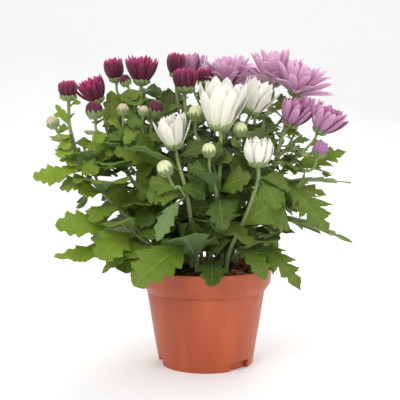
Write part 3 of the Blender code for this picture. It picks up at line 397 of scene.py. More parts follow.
# Leaves that the front shows one by one: shoot, height on it, tip, half width, way it faces, arch, kind
CHOSEN_LEAVES = tuple(Chosen(*row) for row in (
    ("burgundy_1", 174, (-150, -24, 168), 12.0, (0.1, -0.85, 0.5), -2, "large"),
    ("burgundy_1", 212, (-131, -17, 231), 4.0, (0.3, -1.0, 0.2), 1, "small"),
    ("burgundy_1", 184, (-127, -24, 182), 4.0, (0.0, -0.6, 0.8), 1, "small"),
    ("shoot_left", 125, (-127, -46, 128), 14.5, (0.1, -0.85, 0.5), 3, "large"),
    ("shoot_left", 118, (-127, -50, 102), 11.5, (-0.1, -0.75, 0.65), -8, "large"),
    ("burgundy_2", 140, (-84, -34, 152), 11.0, (0.0, -0.9, 0.4), 2, "large"),
    ("white_1", 113, (-58, -82, 83), 22.0, (-0.2, -0.9, 0.45), 8, "large"),
    ("shoot_left", 106, (-88, -44, 87), 8.5, (-0.3, -0.5, 0.8), 8, "large"),
    ("white_1", 153, (-39, -84, 119), 9.5, (0.35, 0.85, -0.2), -9, "large"),
    ("white_2", 150, (13, -88, 128), 13.0, (0.0, -0.7, 0.7), 8, "large"),
    ("white_2", 97, (5, -77, 82), 13.5, (0.0, -0.4, 0.9), 5, "large"),
    ("white_4", 106, (48, -70, 86), 12.0, (0.2, -0.5, 0.85), 9, "large"),
    ("lilac_5", 106, (79, -50, 74), 16.0, (0.3, -0.7, 0.65), 13, "large"),
    ("lilac_5", 136, (126, -32, 112), 12.0, (0.1, -0.35, 0.93), 3, "large"),
    ("lilac_6", 167, (102, -52, 121), 19.0, (0.4, -0.85, 0.35), 7, "large"),
    ("lilac_6", 171, (126, 0, 190), 12.0, (-0.3, -0.9, 0.3), 4, "large"),
    ("lilac_5", 162, (131, 2, 162), 9.0, (0.1, -0.4, 0.9), 3, "large"),
    ("lilac_5", 118, (76, -38, 121), 9.0, (0.1, -0.7, 0.7), 4, "middle"),
    ("burgundy_5", 196, (-33, 26, 246), 13.5, (0.1, -1.0, 0.15), 2, "large"),
    ("burgundy_10", 168, (-58, -44, 205), 10.0, (0.3, -0.9, 0.2), 3, "large"),
    ("white_4", 166, (56, -76, 143), 11.0, (0.4, -0.85, 0.3), 5, "large"),
    ("burgundy_5", 214, (-86, 14, 240), 13.0, (0.1, -1.0, 0.1), 2, "middle"),
    ("burgundy_10", 196, (-80, -12, 207), 9.5, (0.1, -0.85, 0.5), 3, "middle"),
    ("burgundy_10", 180, (-81, -30, 190), 11.0, (0.1, -0.8, 0.55), 3, "middle"),
    ("burgundy_10", 150, (-60, -48, 164), 12.0, (0.1, -0.8, 0.55), 3, "middle"),
    ("burgundy_1", 168, (-124, 6, 203), 8.5, (0.1, -1.0, 0.1), 2, "middle"),
    ("burgundy_2", 168, (-100, -6, 201), 9.0, (0.1, -1.0, 0.2), 2, "middle"),
    ("burgundy_8", 205, (3, -8, 231), 9.0, (-0.2, -0.95, 0.2), 3, "middle"),
    ("burgundy_2", 196, (-90, 14, 243), 9.0, (0.1, -1.0, 0.15), 2, "middle"),
    ("lilac_6", 164, (115, 2, 150), 8.5, (0.2, -0.9, 0.4), 3, "middle"),
))

# One side of a leaf's outline: share of its length, share of its half width
OUTLINES = {
    "large": [(0.0, 0.06), (0.25, 0.07), (0.46, 0.92), (0.55, 0.68), (0.68, 1.0), (0.77, 0.62),
              (0.88, 0.52)],
    "middle": [(0.0, 0.08), (0.52, 1.0), (0.62, 0.52), (0.8, 0.76)],
    "small": [(0.0, 0.2), (0.55, 1.0)],
}
RIBS = {
    "large": [0.38, 0.55, 0.77],
    "middle": [0.45],
    "small": [0.5],
}

# Petals in a layer of each kind of head, and the layers from the outside in.
# Start and end are how far a petal leans from the axis, in degrees.
FORMS = {
    "brush": Form(7, (Layer(1.0, 28, -6, 0.18, 2), Layer(0.94, 12, -4, 0.17, 1))),
    "cup": Form(7, (Layer(1.0, 42, 0, 0.21, 2), Layer(0.95, 24, 0, 0.19, 1))),
    "egg": Form(7, (Layer(1.0, 52, -26, 0.24, 2), Layer(0.92, 36, -20, 0.22, 1))),
    "crown": Form(7, (Layer(1.0, 32, 10, 0.22, 2), Layer(0.95, 19, 4, 0.2, 1))),
    "vase": Form(8, (Layer(1.0, 44, 6, 0.18, 2), Layer(0.9, 24, 2, 0.16, 1))),
    "open": Form(9, (Layer(1.0, 54, 74, 0.14, 2), Layer(0.96, 34, 36, 0.13, 1),
                     Layer(0.8, 16, 8, 0.12, 1))),
}

# Lobes along one side of a leaf, for the round-lobed plants and for the deeply cut lilac one
LOBES = {key: tuple(Lobe(*row) for row in rows) for key, rows in {
    ("round", "large"): (
        (0.36, 0.84, 0.11), (0.55, 1.0, 0.12), (0.74, 0.84, 0.11), (0.9, 0.5, 0.08)),
    ("round", "middle"): (
        (0.4, 1.0, 0.15), (0.66, 0.9, 0.14), (0.87, 0.56, 0.1)),
    ("round", "small"): (
        (0.4, 1.0, 0.3), (0.78, 0.62, 0.16)),
    ("cut", "large"): (
        (0.3, 0.85, 0.11), (0.5, 1.0, 0.12), (0.7, 0.78, 0.11), (0.87, 0.4, 0.09)),
    ("cut", "middle"): (
        (0.34, 1.0, 0.15), (0.6, 0.86, 0.13), (0.83, 0.44, 0.11)),
    ("cut", "small"): (
        (0.4, 1.0, 0.24), (0.76, 0.5, 0.15)),
}.items()}
# The blade between its lobes, as places along a leaf and shares of its half width
BODIES = {
    "round": ((0.2, 0.0), (0.27, 0.28), (0.36, 0.56), (0.5, 0.68), (0.66, 0.64), (0.82, 0.5),
              (0.93, 0.34), (0.98, 0.2), (1.0, 0.0)),
    "cut": ((0.15, 0.0), (0.22, 0.16), (0.32, 0.32), (0.5, 0.38), (0.68, 0.32), (0.82, 0.26),
            (0.94, 0.18), (1.0, 0.0)),
}
LOBE_POWER = {"round": 1.9, "cut": 1.55}
TEETH = {"round": 0.05, "cut": 0.07}
SWEEPS = {"round": 0.34, "cut": 0.44}

# Petal rings of each colour and kind of head from the outside in. The layer is the place on the core,
# counted in layers of the solid head, and the last two numbers are shares of the head's size.
RINGS = {key: tuple(Ring(*row) for row in rows) for key, rows in {
    ("burgundy", "brush"): (
        (0.0, 11, 42, -20, 1.0, 0.16), (0.3, 11, 34, -16, 0.98, 0.16), (0.6, 10, 26, -12, 0.96, 0.15),
        (0.9, 9, 18, -9, 0.92, 0.15), (1.4, 7, 10, -6, 0.86, 0.14)),
    ("burgundy", "cup"): (
        (0.0, 9, 52, -2, 1.0, 0.16), (0.3, 9, 42, 0, 1.0, 0.16), (0.65, 8, 32, 2, 0.96, 0.155),
        (1.0, 8, 22, 0, 0.9, 0.15), (1.5, 6, 12, -4, 0.8, 0.14)),
    ("white", "crown"): (
        (0.0, 7, 33, 10, 1.0, 0.21), (0.35, 7, 27, 8, 1.0, 0.205), (0.75, 6, 20, 5, 0.96, 0.195),
        (1.1, 6, 13, 2, 0.9, 0.18), (1.6, 5, 6, -3, 0.78, 0.16)),
    ("white", "egg"): (
        (0.0, 8, 56, -26, 1.0, 0.22), (0.4, 8, 47, -24, 0.98, 0.215), (0.9, 7, 36, -22, 0.94, 0.2),
        (1.5, 5, 16, -18, 0.84, 0.18)),
    ("lilac", "vase"): (
        (0.0, 8, 54, 4, 1.0, 0.17), (0.4, 9, 44, 4, 0.98, 0.15), (0.8, 9, 33, -2, 0.92, 0.13),
        (1.2, 9, 22, -10, 0.84, 0.11), (1.6, 8, 10, -16, 0.74, 0.095)),
    ("lilac", "open"): (
        (0.0, 8, 60, 74, 1.0, 0.15), (0.4, 8, 52, 52, 1.0, 0.15), (0.8, 8, 42, 36, 0.98, 0.145),
        (1.25, 7, 32, 22, 0.92, 0.14), (1.7, 7, 23, 8, 0.82, 0.13), (2.1, 7, 15, -8, 0.68, 0.11),
        (2.5, 5, 6, -20, 0.54, 0.09)),
}.items()}

# Petals of each colour: how blunt the tip is, its taper, how deep the cupping is, the share of the width
# at the root, and how far each petal turns to tuck one edge under its neighbour
BLADES = {"burgundy": Blade(2.0, 0.66, 0.34, 0.46, math.radians(11)),
          "white": Blade(1.7, 0.76, 0.13, 0.72, math.radians(6)),
          "lilac": Blade(2.6, 0.6, 0.34, 0.42, math.radians(11))}

# How unevenly the petals of a head stand: share of a step round it, and degrees at the root and tip
STRAY = {"brush": (0.12, 3, 6), "cup": (0.17, 5, 9), "egg": (0.08, 2, 4), "crown": (0.15, 4, 8),
         "vase": (0.16, 4, 9), "open": (0.24, 9, 17)}

# Root fibres that lie all over the soil, and the groups of them on the heap: how many there are, and the
# spans of their angles and distances from the middle
LOOSE = Fibre((7, 22), (0.16, 0.4), (0.5, 2.5))
HEAPED = ((70, (-1.3, 0.1), (32, 54), Fibre((8, 20), (0.28, 0.58), (0.5, 5.0))),
          (6, (-0.5, 0.0), (46, 54), Fibre((14, 22), (0.35, 0.6), (7.0, 11.0))))

# Petal colours, as screen values: face, root, middle, tip and veins, and how strong the veins are
PETAL_PAINTS = {
    "burgundy": (("inside", (80, 20, 48), (148, 34, 86), (190, 54, 116), (200, 84, 136), 0.25),
                 ("outside", (58, 15, 32), (86, 23, 50), (146, 44, 90), (134, 56, 92), 0.25)),
    "white": (("inside", (216, 217, 176), (235, 232, 222), (244, 240, 235), (227, 222, 208), 0.3),
              ("outside", (202, 205, 152), (231, 227, 212), (242, 238, 229), (217, 213, 192), 0.35)),
    "lilac": (("inside", (132, 58, 106), (186, 118, 164), (222, 168, 204), (244, 212, 234), 0.5),
              ("outside", (158, 98, 132), (194, 138, 174), (220, 176, 202), (244, 218, 234), 0.5),
              ("deep", (104, 38, 80), (150, 72, 122), (186, 114, 160), (214, 160, 200), 0.5),
              ("flank", (118, 54, 92), (168, 100, 144), (204, 146, 184), (234, 196, 222), 0.5)),
}
# Buds: groove, face and rim of each fold; the groove colour is painted shade in the crease between folds
BUD_PAINTS = {"burgundy": ("burgundy_bud", (34, 8, 18), (74, 20, 42), (106, 38, 66)),
              "lilac": ("lilac_bud", (98, 46, 86), (142, 82, 132), (186, 136, 180)),
              "green": ("pale_bud", (142, 156, 92), (198, 205, 154), (222, 227, 188)),
              "flushed": ("flushed_bud", (120, 112, 76), (192, 188, 138), (200, 160, 162))}
# Leaves and scales: dark, light and vein, and roughness. Each leaf's tone, with its painted shade and
# painted light, chooses between dark and light
LEAF_PAINTS = (("leaf_top", (42, 62, 16), (124, 148, 34), (140, 158, 76), 0.56),
               ("leaf_under", (74, 98, 56), (128, 150, 84), (156, 172, 118), 0.62),
               ("scale_green", (28, 46, 14), (78, 100, 34), (112, 130, 60), 0.6))
# Soil: dark and light, and roughness
SOIL_PAINTS = (("potting_soil", (18, 13, 10), (66, 46, 36), 0.95),
               ("crumb", (30, 21, 16), (92, 64, 48), 0.95),
               ("root_fibre", (112, 66, 50), (176, 124, 94), 0.8))
# How far each colour of light spreads under a skin
PETAL_SPREAD = (1.0, 0.8, 0.8)
LEAF_SPREAD = (0.6, 1.0, 0.3)
POT_SPREAD = (1.0, 0.45, 0.2)


# Vectors and closed meshes

def unit(vector):
    vector = np.asarray(vector, float)
    return vector / np.linalg.norm(vector)


def across(axis):
    """Two unit vectors square to the axis and to each other."""
    axis = unit(axis)
    helper = (0.0, 1.0, 0.0) if abs(axis[1]) < 0.9 else (1.0, 0.0, 0.0)
    first = unit(np.cross(helper, axis))
    return first, np.cross(axis, first)


def round_spot(radius, angle):
    return radius * math.cos(angle), radius * math.sin(angle)


def closed(points, triangles):
    """A closed mesh with its faces turned outwards."""
    points = np.asarray(points, float)
    triangles = np.asarray(triangles, int)
    corners = points[triangles] - points.mean(axis=0)
    if np.linalg.det(corners).sum() < 0:
        triangles = triangles[:, ::-1]
    return points, triangles


def quads_between(first, second):
    """Triangles between two rings of point numbers."""
    found = []
    for i, (a, c) in enumerate(zip(first, second)):
        b = first[(i + 1) % len(first)]
        d = second[(i + 1) % len(second)]
        found += [(a, b, d), (a, d, c)]
    return found


def turned(profile, sides, base, axis, ridge=0.0):
    """A body turned about the axis from (radius, height, lift) points that start and end on it.

    The lift raises every other column, and ridge draws every other column in by that share."""
    first, second = across(axis)
    axis = unit(axis)
    points = [base + axis * profile[0][1]]
    rings = []
    for radius, height, lift in profile[1:-1]:
        rings.append(range(len(points), len(points) + sides))
        for column in range(sides):
            angle = math.tau * column / sides
            odd = column % 2
            reach = radius * (1 - ridge * odd)
            way = first * math.cos(angle) + second * math.sin(angle)
            points.append(base + way * reach + axis * (height + lift * (1 - 2 * odd)))
    points.append(base + axis * profile[-1][1])
    triangles = []
    for column in range(sides):
        after = (column + 1) % sides
        triangles.append((0, rings[0][after], rings[0][column]))
        triangles.append((len(points) - 1, rings[-1][column], rings[-1][after]))
    for lower, upper in zip(rings, rings[1:]):
        triangles += quads_between(lower, upper)
    return closed(points, triangles)


def tube(route, radii, sides):
    """A round rod along a route, with its radius going evenly from the first to the last."""
    route = np.asarray(route, float)
    ways = np.gradient(route, axis=0)
    first = across(ways[0])[0]
    points = []
    for i, (place, way) in enumerate(zip(route, ways)):
        way = unit(way)
        first = unit(first - way * first.dot(way))
        second = np.cross(way, first)
        radius = radii[0] + (radii[1] - radii[0]) * i / (len(route) - 1)
        for side in range(sides):
            angle = math.tau * side / sides
            points.append(place + radius * (first * math.cos(angle) + second * math.sin(angle)))
    rings = [range(i * sides, (i + 1) * sides) for i in range(len(route))]
    triangles = []
    for lower, upper in zip(rings, rings[1:]):
        triangles += quads_between(lower, upper)
    for ring in (rings[0], rings[-1]):
        caps = [(ring[0], ring[i], ring[i + 1]) for i in range(1, sides - 1)]
        triangles += caps if ring is rings[-1] else [cap[::-1] for cap in caps]
    return closed(points, triangles)


def zipped(first, second):
    """Triangles between two chains of (share, number) that end at the same point."""
    i = j = 0
    found = []
    while i < len(first) - 1 or j < len(second) - 1:
        first_left = i < len(first) - 1
        second_left = j < len(second) - 1
        if first_left and (not second_left or first[i + 1][0] <= second[j + 1][0]):
            found.append((first[i][1], first[i + 1][1], second[j][1]))
            i += 1
        else:
            found.append((first[i][1], second[j + 1][1], second[j][1]))
            j += 1
    return [t for t in found if len(set(t)) == 3]


# Leaves

def leaf_frame(leaf):
    """The ends of a leaf's arched rib, with its control point between them, and the way across it."""
    root = np.asarray(leaf.root, float)
    tip = np.asarray(leaf.tip, float)
    along = unit(tip - root)
    facing = np.asarray(leaf.facing, float)
    up = unit(facing - along * facing.dot(along))
    return root, (root + tip) / 2 + up * 2 * leaf.arch, tip, np.cross(along, up)


def leaf_place(leaf, share, offset):
    """A point of a leaf's middle surface and the surface's normal there.

    The rib arches between root and tip, and the two halves fold up from it."""
    root, middle, tip, side = leaf_frame(leaf)
    rib = root * (1 - share) ** 2 + middle * 2 * share * (1 - share) + tip * share ** 2
    way = unit((middle - root) * (1 - share) + (tip - middle) * share)
    normal = np.cross(side, way)
    place = rib + side * offset * math.cos(LEAF_FOLD) + normal * abs(offset) * math.sin(LEAF_FOLD)
    return place, normal


def leaf_solid(leaf, skip=0, spare=0.0):
    """A blade with its stalk and cut edges, thick at the rib and fine at the edge.

    skip leaves the stalk out, and spare thickens the blade."""
    outline = OUTLINES[leaf.kind][skip:]
    rib = RIBS[leaf.kind]
    upper = []
    lower = []
    for share in rib:
        place, normal = leaf_place(leaf, share, 0.0)
        upper.append(place + normal * (BLADE / 2 + spare))
        lower.append(place - normal * (BLADE / 2 + spare))
    for side in (-1, 1):
        for share, width in outline:
            stalk = share < rib[0]
            half = STALK / 2 if stalk else width * leaf.width
            place, normal = leaf_place(leaf, share, side * (half + spare))
            thick = (STALK if stalk else EDGE) / 2 + spare
            upper.append(place + normal * thick)
            lower.append(place - normal * thick)
    place, normal = leaf_place(leaf, 1.0, 0.0)
    upper.append(place + normal * (EDGE / 2 + spare))
    lower.append(place - normal * (EDGE / 2 + spare))
    count = len(upper)
    tip = (1.0, count - 1)
    middle = [(share, i) for i, share in enumerate(rib)] + [tip]
    left = [(spot[0], len(rib) + i) for i, spot in enumerate(outline)] + [tip]
    right = [(spot[0], len(rib) + len(outline) + i) for i, spot in enumerate(outline)] + [tip]
    stalk = 2 - skip
    faces = zipped(middle, left[stalk - 1:]) + [t[::-1] for t in zipped(middle, right[stalk - 1:])]
    faces.append((middle[0][1], left[stalk - 1][1], right[stalk - 1][1]))
    for i in range(stalk - 1):
        faces += [(left[i + 1][1], left[i][1], right[i][1]), (left[i + 1][1], right[i][1], right[i + 1][1])]
    edge = [number for _, number in left] + [number for _, number in reversed(right[:-1])]
    triangles = faces + [tuple(number + count for number in reversed(face)) for face in faces]
    for a, b in zip(edge, edge[1:] + edge[:1]):
        triangles += [(a, b, b + count), (a, b + count, a + count)]
    return closed(upper + lower, triangles)


def bent_leaves(leaf):
    """The leaf, then the same leaf turned, lifted and shortened step by step."""
    root = np.asarray(leaf.root, float)
    reach = np.asarray(leaf.tip, float) - root
    for share in LEAF_SHRINKS:
        for lift in LEAF_LIFTS:
            for turn in LEAF_TURNS:
                angle = math.radians(turn)
                flat = math.hypot(reach[0], reach[1])
                heading = math.atan2(reach[1], reach[0]) + angle
                climb = math.atan2(reach[2], flat) + math.radians(lift)
                length = np.linalg.norm(reach) * share
                way = np.array((math.cos(climb) * math.cos(heading),
                                math.cos(climb) * math.sin(heading), math.sin(climb)))
                yield leaf._replace(tip=root + way * length, width=leaf.width * share)


# Flower heads

def cup_height(head):
    return 0.62 * head.cup


def cup_solid(head):
    """The green cup under a head, with a pointed rim."""
    cup, height = head.cup, cup_height(head)
    profile = [(0, -1.0, 0), (0.82 * cup, 0.25 * height, 0), (cup, height, RIM_POINT * height),
               (cup - CUP_RIM, (1 - RIM_POINT) * height, 0), (0, CUP_DEPTH, 0)]
    return turned(profile, CUP_SIDES, np.asarray(head.base, float), head.axis)


def seat_profile(head):
    """The cone of a head that sits in its cup, a clearance away from it."""
    mouth = (head.cup - CUP_RIM) * math.cos(math.pi / CUP_SIDES)
    rise = (1 - RIM_POINT) * cup_height(head) - CUP_DEPTH
    bottom = CUP_DEPTH + 1.15 * CLEARANCE
    radius = mouth - 2 * CLEARANCE
    return [(0, bottom, 0), (radius, bottom + rise * radius / mouth, 0)]


def bud_solid(head):
    """A closed bud, with ridges where its petals lie over each other."""
    height = cup_height(head)
    size = head.size
    profile = seat_profile(head) + [(size, height + 0.6 * size, 0), (0.72 * size, height + 1.2 * size, 0),
                                    (0, height + 1.5 * size, 0)]
    return turned(profile, BUD_SIDES, np.asarray(head.base, float), head.axis, BUD_RIDGE)


def core_rings(head):
    """The dense middle under the petals, from its bottom point to its top point, as rings of points.

    Each ring from the mouth of the cup upwards is turned half a step from the last."""
    first, second = across(head.axis)
    axis = unit(head.axis)
    form = FORMS[head.kind]
    step = math.tau / form.petals
    profile = [(radius, height) for radius, height, _ in seat_profile(head)]
    mouth = (1 + RIM_POINT) * cup_height(head) + MOUTH_RISE
    rise = CORE_RISE * head.cup
    profile.append((head.cup - MOUTH_INSET, mouth))
    for number in range(len(form.layers)):
        share = (number + 1) / (len(form.layers) + 0.6)
        profile.append((CORE_WIDTH * head.cup * math.cos(share * CORE_ROUND), mouth + rise * share))
    profile.append((0, mouth + 1.15 * rise))
    rings = []
    for number, (radius, height) in enumerate(profile):
        turned_by = 0.5 * max(0, number - 2)
        count = form.petals if radius else 1
        rings.append([head.base + axis * height + radius * (
            first * math.cos(step * (i + turned_by)) + second * math.sin(step * (i + turned_by)))
            for i in range(count)])
    return rings


def petal_line(petal, share, trig=math):
    """How far out and up a petal's middle line is, and how far it leans there.

    trig is numpy where the share is an array."""
    start, end = math.radians(petal.start), math.radians(petal.end)
    bend = end - start if abs(end - start) > 0.01 else 0.01
    lean = start + bend * share
    radius = petal.radius + petal.length * (math.cos(start) - trig.cos(lean)) / bend
    height = petal.height + petal.length * (trig.sin(lean) - math.sin(start)) / bend
    return radius, height, lean


def petal_ways(petal):
    """The head's axis, the way out from it to the petal, and the way across the petal."""
    axis = unit(petal.axis)
    first, second = across(axis)
    out = first * math.cos(petal.turn) + second * math.sin(petal.turn)
    return axis, out, np.cross(axis, out)


def petal_place(petal, share, offset):
    """A point of a petal's inner surface and the normal that faces the head's axis."""
    axis, out, side = petal_ways(petal)
    radius, height, lean = petal_line(petal, share)
    normal = axis * math.sin(lean) - out * math.cos(lean)
    curl = PETAL_CUP * offset * offset / petal.width
    return petal.base + out * radius + axis * height + side * offset + normal * curl, normal


def petal_half(petal, share):
    """A petal's half width: narrow at the root, rounded at the tip and clear of its neighbours."""
    if share < WIDEST:
        half = petal.width * (0.42 + 0.58 * math.sin(share / WIDEST * math.pi / 2))
    else:
        half = petal.width * math.sqrt(max(0.0, 1 - ((share - WIDEST) / (1 - WIDEST)) ** 2))
    return min(half, PETAL_CROWD * petal_line(petal, share)[0] * math.tan(math.pi / petal.crowd))


def petal_sections(petal, shares, spare=0.0):
    """Three-sided sections of a petal, flat inside and ridged outside, then its tip."""
    points = []
    for share in shares:
        half = petal_half(petal, share) + spare
        middle, normal = petal_place(petal, share, 0.0)
        points += [petal_place(petal, share, -half)[0] + normal * spare,
                   petal_place(petal, share, half)[0] + normal * spare,
                   middle - normal * (PETAL_THICK / 2 + spare)]
    points.append(petal_place(petal, 1.0, 0.0)[0])
    return points


def petal_faces(rows):
    """The sides and tip of a petal from its rows of point numbers. The last row is the tip alone."""
    found = []
    for lower, upper in zip(rows, rows[1:-1]):
        found += quads_between(lower, upper)
    last, tip = rows[-2], rows[-1][0]
    return found + [(last[i], last[(i + 1) % 3], tip) for i in range(3)]


def petal_probe(petal, spare):
    """The free part of a petal as a closed body, for finding what it would cross."""
    shares = (0.05,) + PETAL_SHARES[petal.stations]
    points = petal_sections(petal, shares, spare)
    rows = [range(3 * i, 3 * i + 3) for i in range(len(shares))] + [[3 * len(shares)]]
    return closed(points, petal_faces(rows) + [(0, 2, 1)])


def petals_of(head, rings):
    """Each petal of a head, layer by layer, with its layer and its place in it."""
    form = FORMS[head.kind]
    step = math.tau / form.petals
    base = np.asarray(head.base, float)
    axis = unit(head.axis)
    for number, layer in enumerate(form.layers):
        lower, upper = rings[2 + number][0] - base, rings[3 + number][0] - base
        middle = (lower + 2 * upper) / 3
        height = middle.dot(axis)
        radius = (np.linalg.norm(lower - axis * lower.dot(axis))
                  + 2 * np.linalg.norm(upper - axis * upper.dot(axis))) / 3
        for place in range(form.petals):
            turn = step * (place + 0.5 + 0.5 * (number + 1))
            yield number, place, Petal(base, head.axis, turn, radius, height, head.size * layer.length,
                                       layer.start, layer.end, head.size * layer.width, layer.stations,
                                       form.petals)


def bent_petals(petal):
    """The petal, then the same petal drawn in towards the axis and shortened step by step."""
    for share in PETAL_SHRINKS:
        for lean in PETAL_LEANS:
            yield petal._replace(length=petal.length * share, start=petal.start + lean / 2,
                                 end=petal.end + lean)


def bloom_solid(head, rings, petals):
    """A head in one closed body: each petal grows out of one triangle of the core."""
    form = FORMS[head.kind]
    points = [point for ring in rings for point in ring]
    numbers = []
    for ring in rings:
        begin = numbers[-1][-1] + 1 if numbers else 0
        numbers.append(list(range(begin, begin + len(ring))))
    count = form.petals
    triangles = [(0, numbers[1][(i + 1) % count], numbers[1][i]) for i in range(count)]
    triangles += quads_between(numbers[1], numbers[2])
    for layer in range(len(form.layers)):
        lower, upper = numbers[2 + layer], numbers[3 + layer]
        for i in range(count):
            after = (i + 1) % count
            triangles.append((lower[i], lower[after], upper[i]))
            root = (upper[i], upper[after], lower[after])
            petal = petals.get((layer, i))
            if petal is None:
                triangles.append(root[::-1])
                continue
            shares = PETAL_SHARES[petal.stations]
            begin = len(points)
            points += petal_sections(petal, shares)
            rows = [root] + [range(begin + 3 * k, begin + 3 * k + 3) for k in range(len(shares))]
            triangles += [face[::-1] for face in petal_faces(rows + [[len(points) - 1]])]
    top = numbers[-1][0]
    triangles += [(numbers[-2][i], numbers[-2][(i + 1) % count], top) for i in range(count)]
    return closed(points, triangles)


# Room for each blade

class Room:
    """What is placed so far, by owner, so that a new blade can be bent clear of it."""

    def __init__(self):
        self.placed = []

    def add(self, owner, solid):
        points, triangles = solid
        tree = BVHTree.FromPolygons(points.tolist(), triangles.tolist())
        self.placed.append((owner, tree, points.min(axis=0), points.max(axis=0)))

    def crossed(self, solid, owner=None):
        points, triangles = solid
        low, high = points.min(axis=0), points.max(axis=0)
        tree = BVHTree.FromPolygons(points.tolist(), triangles.tolist())
        for other, placed, least, most in self.placed:
            if other == owner or (low > most).any() or (high < least).any():
                continue
            if tree.overlap(placed):
                return True
        return False


# Shoots

def soil_height(x, y):
    """The soil's surface, domed in the middle and lumpy."""
    radius = math.hypot(x, y)
    dome = 0.5 + 0.5 * math.cos(math.pi * min(1.0, radius / SOIL_DOME))
    lumps = math.sin(0.31 * x + 1.3) * math.cos(0.27 * y - 0.6) + 0.6 * math.sin(0.17 * (x - 2 * y))
    return SOIL_EDGE + (SOIL_CROWN - SOIL_EDGE) * dome + SOIL_LUMP * lumps


def at_height(route, height):
    """Where a route first reaches a height."""
    for low, high in zip(route, route[1:]):
        if low[2] <= height <= high[2]:
            return low + (high - low) * (height - low[2]) / (high[2] - low[2])
    return route[-1]


def routes_of_shoots(heads):
    """The route of each shoot by name, from its root or fork to its head or tip."""
    routes = {}
    for shoot in SHOOTS:
        if shoot.parent is None:
            x, y = shoot.fork
            ground = soil_height(x, y)
            route = [(x, y, ground - ROOT_DEPTH), (x, y, ground + ROOT_COLLAR)]
        else:
            route = [at_height(routes[shoot.parent], shoot.fork)]
        route += shoot.via
        if shoot.name in heads:
            head = heads[shoot.name]
            base = np.asarray(head.base, float)
            route += [base - unit(head.axis) * NECK_LENGTH, base]
        routes[shoot.name] = np.array(route, float)
    return routes


def node_of_shoots():
    """The rooted shoot that each shoot belongs to."""
    found = {}
    for shoot in SHOOTS:
        found[shoot.name] = found[shoot.parent] if shoot.parent else "stem_" + shoot.name
    return found


def along_route(route, first, spare, step):
    """Points a step apart along a route, from the first distance to a spare one short of its end."""
    steps = np.linalg.norm(np.diff(route, axis=0), axis=1)
    lengths = np.concatenate(([0.0], np.cumsum(steps)))
    for travelled in np.arange(first, lengths[-1] - spare, step):
        yield np.array([np.interp(travelled, lengths, route[:, k]) for k in range(3)])


def leaves_by_rule(shoot, route, number):
    """Leaves up a shoot in a two-fifths spiral, smaller towards the top."""
    first = LEAF_STEP * 0.5 if shoot.parent else ROOT_DEPTH + ROOT_COLLAR
    for i, root in enumerate(along_route(route, first, NECK_LENGTH, LEAF_STEP)):
        length = max(LEAF_SHORTEST, LEAF_LONG - LEAF_SHORTENS * (root[2] - LOWEST_LEAF))
        if shoot.parent:
            length *= SIDE_SHARE
        turn = SHOOT_TURN * number + LEAF_TURN * i
        outwards = np.array((math.cos(turn), math.sin(turn), LEAF_RISES[i % len(LEAF_RISES)]))
        tip = root + unit(outwards) * length
        kind = "middle" if length > SMALL_LEAF else "small"
        yield Leaf(root, tip, (0.0, 0.0, 1.0), length * LEAF_PLUMP, length * LEAF_ARCH, kind)


HEADS_BY_NAME = {head.name: head for head in HEADS}
ROUTES = routes_of_shoots(HEADS_BY_NAME)
OWNERS = node_of_shoots()


# The whole layout

def laid_out():
    """The leaves with their nodes and shoots, more small leaves, and the petals, all bent clear."""
    room = Room()
    room.add("pot", pot_solid())
    room.add("soil", soil_solid())
    for shoot in SHOOTS:
        owner = OWNERS[shoot.name]
        radii, sides = (SIDE_RADII, SIDE_SIDES) if shoot.parent else (MAIN_RADII, MAIN_SIDES)
        room.add(owner, tube(ROUTES[shoot.name], radii, sides))
        if shoot.name in HEADS_BY_NAME:
            room.add(owner, cup_solid(HEADS_BY_NAME[shoot.name]))
    petals = heads_laid_out(room)
    leaves = []
    for owner, shoot, leaf in wanted_leaves():
        bent = clear_leaf(leaf, owner, room)
        if bent is not None:
            leaves.append((owner, shoot, bent))
            room.add(owner, leaf_solid(bent))
    return leaves, extra_leaves(room), petals


def heads_laid_out(room):
    """The petals of each flower head, each bent clear of its neighbours."""
    found = {}
    rings = {}
    for head in HEADS:
        if head.kind == "bud":
            room.add("bud_" + head.name, bud_solid(head))
        else:
            name = "bloom_" + head.name
            rings[name] = core_rings(head)
            room.add(name, bloom_solid(head, rings[name], {}))
    for head in HEADS:
        name = "bloom_" + head.name
        if name not in rings:
            continue
        petals = {}
        own = Room()
        for layer, place, petal in petals_of(head, rings[name]):
            for bent in bent_petals(petal):
                if room.crossed(petal_probe(bent, CLEARANCE), name):
                    continue
                if own.crossed(petal_probe(bent, TOUCHING)):
                    continue
                petals[layer, place] = bent
                own.add(name, petal_probe(bent, 0.0))
                break
        found[name] = petals
        room.add(name, bloom_solid(head, rings[name], petals))
    return found


def wanted_leaves():
    """Each leaf with its node and shoot, the chosen ones first."""
    found = [(OWNERS[spot.shoot], spot.shoot, Leaf(at_height(ROUTES[spot.shoot], spot.height), spot.tip,
                                                   spot.facing, spot.width, spot.arch, spot.kind))
             for spot in CHOSEN_LEAVES]
    for number, shoot in enumerate(SHOOTS):
        found += [(OWNERS[shoot.name], shoot.name, leaf)
                  for leaf in leaves_by_rule(shoot, ROUTES[shoot.name], number)]
    return found


